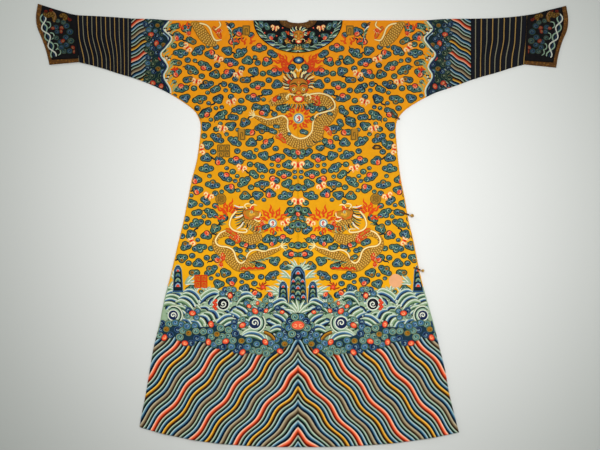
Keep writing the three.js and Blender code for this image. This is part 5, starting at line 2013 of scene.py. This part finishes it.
def yellow_silk():
    silk = Silk("yellow_silk", 0.62)
    height = silk.add("SeparateXYZ")
    silk.join(silk.spot, height.inputs[0])
    # Painted shade: the yellow ground darkens towards the shoulders
    down = silk.between(height.outputs["Y"], 0.7, -0.1)
    ground = silk.ramp(down, [(0.0, YELLOW_SHADED_TOP), (0.66, YELLOW_HALF_SHADED_MID), (1.0, YELLOW_LOW)])
    ground = silk.blend(silk.math("MULTIPLY", silk.noise(14, 4.0), 0.35), ground, YELLOW_SHADED_TOP)
    sea = silk.blend(silk.noise(120, 2.0), SAGE, MINT)
    sea = silk.blend(silk.above("sleeve"), sea, OUTLINE)
    hem = shaded_stripes(silk, silk.field("phase"))
    colour = silk.blend(silk.above("sea"), ground, sea)
    hem = silk.blend(silk.above("sleeve"), hem, silk.blend(1.0, hem, SLEEVE_DULL, "MULTIPLY"))
    colour = silk.blend(silk.above("stripes"), colour, hem)
    return silk.finish(colour)


RIB_GROUND = thread(8, 11, 20)
RIB_CREASE_SHADE = thread(4, 5, 9)
RIB_GOLD = thread(140, 112, 62)
RIB_PALE = thread(112, 108, 88)
# Painted crease shade: a darker band on each side of every gold and pale line of the ribs
RIB_RAMP = [
    (0.0, RIB_GOLD), (0.08, RIB_CREASE_SHADE), (0.17, RIB_GROUND), (0.42, RIB_CREASE_SHADE), (0.5, RIB_PALE),
    (0.58, RIB_CREASE_SHADE), (0.67, RIB_GROUND), (0.92, RIB_CREASE_SHADE),
]


def ribbed_silk():
    silk = Silk("indigo_silk", 0.6)
    return silk.finish(silk.ramp(silk.math("FRACT", silk.field("ribs")), RIB_RAMP, True))


def plain_silk(name, tone, other):
    silk = Silk(name, 0.65)
    return silk.finish(silk.ramp(silk.noise(90.0, 3.0), [(0.3, tone), (0.7, other)]))


BRAID_TONES = [(0.1, thread(116, 78, 26)), (0.34, thread(96, 62, 20)), (0.5, thread(76, 47, 14))]
BRAID_SCALE = 130


def braid(name):
    """Gold and brown figured braid."""
    silk = Silk(name, 0.5, 0.05, 2.0)
    cells = silk.add("TexVoronoi")
    silk.join(silk.spot, cells.inputs["Vector"])
    cells.inputs["Scale"].default_value = BRAID_SCALE
    return silk.finish(silk.ramp(cells.outputs["Distance"], BRAID_TONES))


def stitched(name):
    silk = Silk(name, 0.5)
    return silk.finish(silk.add("Attribute", attribute_name="thread").outputs["Color"])


def brass():
    silk = Silk("brass", 0.32, 0.0)
    silk.shader.inputs["Metallic"].default_value = 0.9
    return silk.finish(silk.ramp(silk.noise(300), [(0.3, thread(170, 122, 50)), (0.7, thread(214, 170, 84))]))


def dress(piece, material):
    piece.data.materials.clear()
    piece.data.materials.append(material)
    return piece


# The pieces

YELLOW = yellow_silk()
RIBBED = ribbed_silk()
BLACK = plain_silk("black_silk", thread(5, 5, 7), thread(14, 12, 13))
BRAID = braid("gold_brown_braid")
STITCHES = stitched("stitching_silk")
STRAP = plain_silk("strap_silk", thread(64, 38, 18), thread(98, 62, 30))
BRASS = brass()


STRAPS = ("armpit", "waist", "hip")
BUTTONS = ("waist", "hip")
BAND_STRENGTH = 0.62


def cloth(result, material):
    piece, area = result
    dress(piece, material)


def flap_edge(share):
    return lap_edge(share * RIGHT.seam(SIDE_SEAM["drop"][0]))


def flap_foot(share):
    return flap_edge(share) + LAP_BAND_WIDTH


def flap_start(share):
    return flap_foot(share) + SEAM_GAP


def flap_hem(share):
    return mix(CENTRE_LENGTH, RIGHT.hem_corner, share ** HEM_CURVE)


flap = lap_piece("front_flap_silk", "front_flap", "yellow_silk", FLAP_ROWS, flap_start, flap_hem)
flap_band = lap_piece("flap_band_silk", "flap_band", "black_silk", FLAP_BAND_ROWS, flap_edge, flap_foot)
cloth(flap, YELLOW)
cloth(flap_band, BLACK)
for side in SIDES:
    cloth(body_half(side), YELLOW)
    cloth(lower_sleeve(side), RIBBED)
    ground, border = cuff(side)
    cloth(ground, BLACK)
    cloth(border, BRAID)
    dress(cuff_work(side), STITCHES)
collar = neck_band("collar_band_silk", "collar_band", "binding", "collar", "black_silk", COLLAR_COLUMNS)
cloth(collar, BLACK)
binding = neck_band(
    "neck_binding_braid", "neck_binding", "hole", "binding", "gold_brown_braid", BINDING_COLUMNS)
cloth(binding, BRAID)
for name in STRAPS:
    dress(bpy.data.objects["strap_" + name], STRAP)
for name in BUTTONS:
    dress(bpy.data.objects["button_" + name], BRASS)
dress(collar_work(), STITCHES)


def dragon_figures(work):
    """Dragons, flames, pearls, bats and emblems over the clouds."""
    flames(work, FLAMES)
    blazes(work)
    upper_dragon(work)
    lower_dragon(work)
    shoulder_dragon(work)
    for x, y, radius, mirrored in PEARLS:
        pearl(work, x, y, radius, 10, mirrored)
    for x, y, turn in rows_of(BATS):
        bat(work, *at(x, y), turn)
    for y in CENTRE_BATS:
        bat(work, 0, y - SHOULDER_PIXEL, 0, 1.1, False)
    emblems(work)


# Each layer of ornament on the yellow: its name, how strong its threads are, and what draws it
ORNAMENT = [
    ("cloud_stitching", 1.0, (scatter_clouds, centre_clouds)),
    ("dragon_stitching", 1.0, (dragon_figures,)),
    ("sea_stitching", 1.0, (sea_foam, waves, whorls, wave_ground, band_crest)),
    ("rock_stitching", 1.0, (rocks,)),
    ("bank_stitching", 1.0, (bank,)),
    ("band_stitching", BAND_STRENGTH, (sleeve_bands,)),
]
for name, strength, drawings in ORNAMENT:
    layer = Stitching(name, "yellow_silk", keep_on_body, strength)
    for draw in drawings:
        draw(layer)
    dress(layer.build(), STITCHES)


# The floor, the lights and the camera over it

FLOOR_SIZE = 8
FLOOR_GAP = 0.0005
CAMERA_CENTRE = (-0.00735, 0.0015)
CAMERA_HEIGHT = 5.0
PHOTO_WIDTH = 2.07
SENSOR = 36
# A painted pool of light on the paper: where it centres, how far it reaches, its painted light and its
# painted shade
PAPER_LIGHT_POOL_CENTRE = (0.05, 0.03, 0)
PAPER_LIGHT_POOL_REACH = 1.72
PAPER_PAINTED_LIGHT = (0.93, 0.94, 0.92, 1)
PAPER_PAINTED_SHADE = (0.36, 0.385, 0.36, 1)
WORLD_COLOUR = (1.0, 1.0, 0.97, 1)
WORLD_STRENGTH = 0.38
LIGHTS = [
    {"name": "key", "place": (0.35, 0.45, 2.5), "size": 1.4, "power": 40},
    {"name": "fill", "place": (0.9, -1.4, 3.0), "size": 2.2, "power": 13},
    {"name": "rake", "place": (-2.2, 1.9, 1.0), "size": 0.6, "power": 16},
]


def studio_paper():
    """Pale paper with a painted pool of light: bright in the middle, painted shade towards the corners."""
    paper = bpy.data.materials.new("studio_paper")
    paper.use_nodes = True
    nodes, links = paper.node_tree.nodes, paper.node_tree.links
    shader = nodes["Principled BSDF"]
    spread = nodes.new("ShaderNodeVectorMath")
    spread.operation = "DISTANCE"
    spread.inputs[1].default_value = PAPER_LIGHT_POOL_CENTRE
    light_falloff = nodes.new("ShaderNodeMapRange")
    light_falloff.interpolation_type = "SMOOTHSTEP"
    light_falloff.inputs["From Max"].default_value = PAPER_LIGHT_POOL_REACH
    painted_light_pool = nodes.new("ShaderNodeMixRGB")
    painted_light_pool.inputs["Color1"].default_value = PAPER_PAINTED_LIGHT
    painted_light_pool.inputs["Color2"].default_value = PAPER_PAINTED_SHADE
    links.new(nodes.new("ShaderNodeTexCoord").outputs["Object"], spread.inputs[0])
    links.new(spread.outputs["Value"], light_falloff.inputs["Value"])
    links.new(light_falloff.outputs["Result"], painted_light_pool.inputs["Fac"])
    links.new(painted_light_pool.outputs["Color"], shader.inputs["Base Color"])
    shader.inputs["Roughness"].default_value = 0.9
    return paper


def add_light(name, place, size, power):
    """A square light that faces the middle of the robe."""
    light = bpy.data.lights.new(name, "AREA")
    light.size = size
    light.energy = power
    lamp = bpy.data.objects.new(name, light)
    bpy.context.collection.objects.link(lamp)
    lamp.location = place
    x, y, z = place
    lamp.rotation_euler = (0, math.atan2(math.hypot(x, y), z), math.atan2(y, x))


bpy.ops.mesh.primitive_plane_add(size=FLOOR_SIZE, location=(0, 0, -FLOOR_GAP))
floor = bpy.context.object
floor.name = "studio_floor"
floor.data.materials.append(studio_paper())
for settings in LIGHTS:
    add_light(**settings)
world = bpy.data.worlds.new("studio")
world.use_nodes = True
background = world.node_tree.nodes["Background"]
background.inputs["Color"].default_value = WORLD_COLOUR
background.inputs["Strength"].default_value = WORLD_STRENGTH
bpy.context.scene.world = world
bpy.context.scene.view_settings.view_transform = "Standard"

camera_data = bpy.data.cameras.new("camera")
camera_data.sensor_width = SENSOR
camera_data.lens = SENSOR * CAMERA_HEIGHT / PHOTO_WIDTH
camera = bpy.data.objects.new("camera", camera_data)
bpy.context.collection.objects.link(camera)
camera.location = (*CAMERA_CENTRE, CAMERA_HEIGHT)
bpy.context.scene.camera = camera
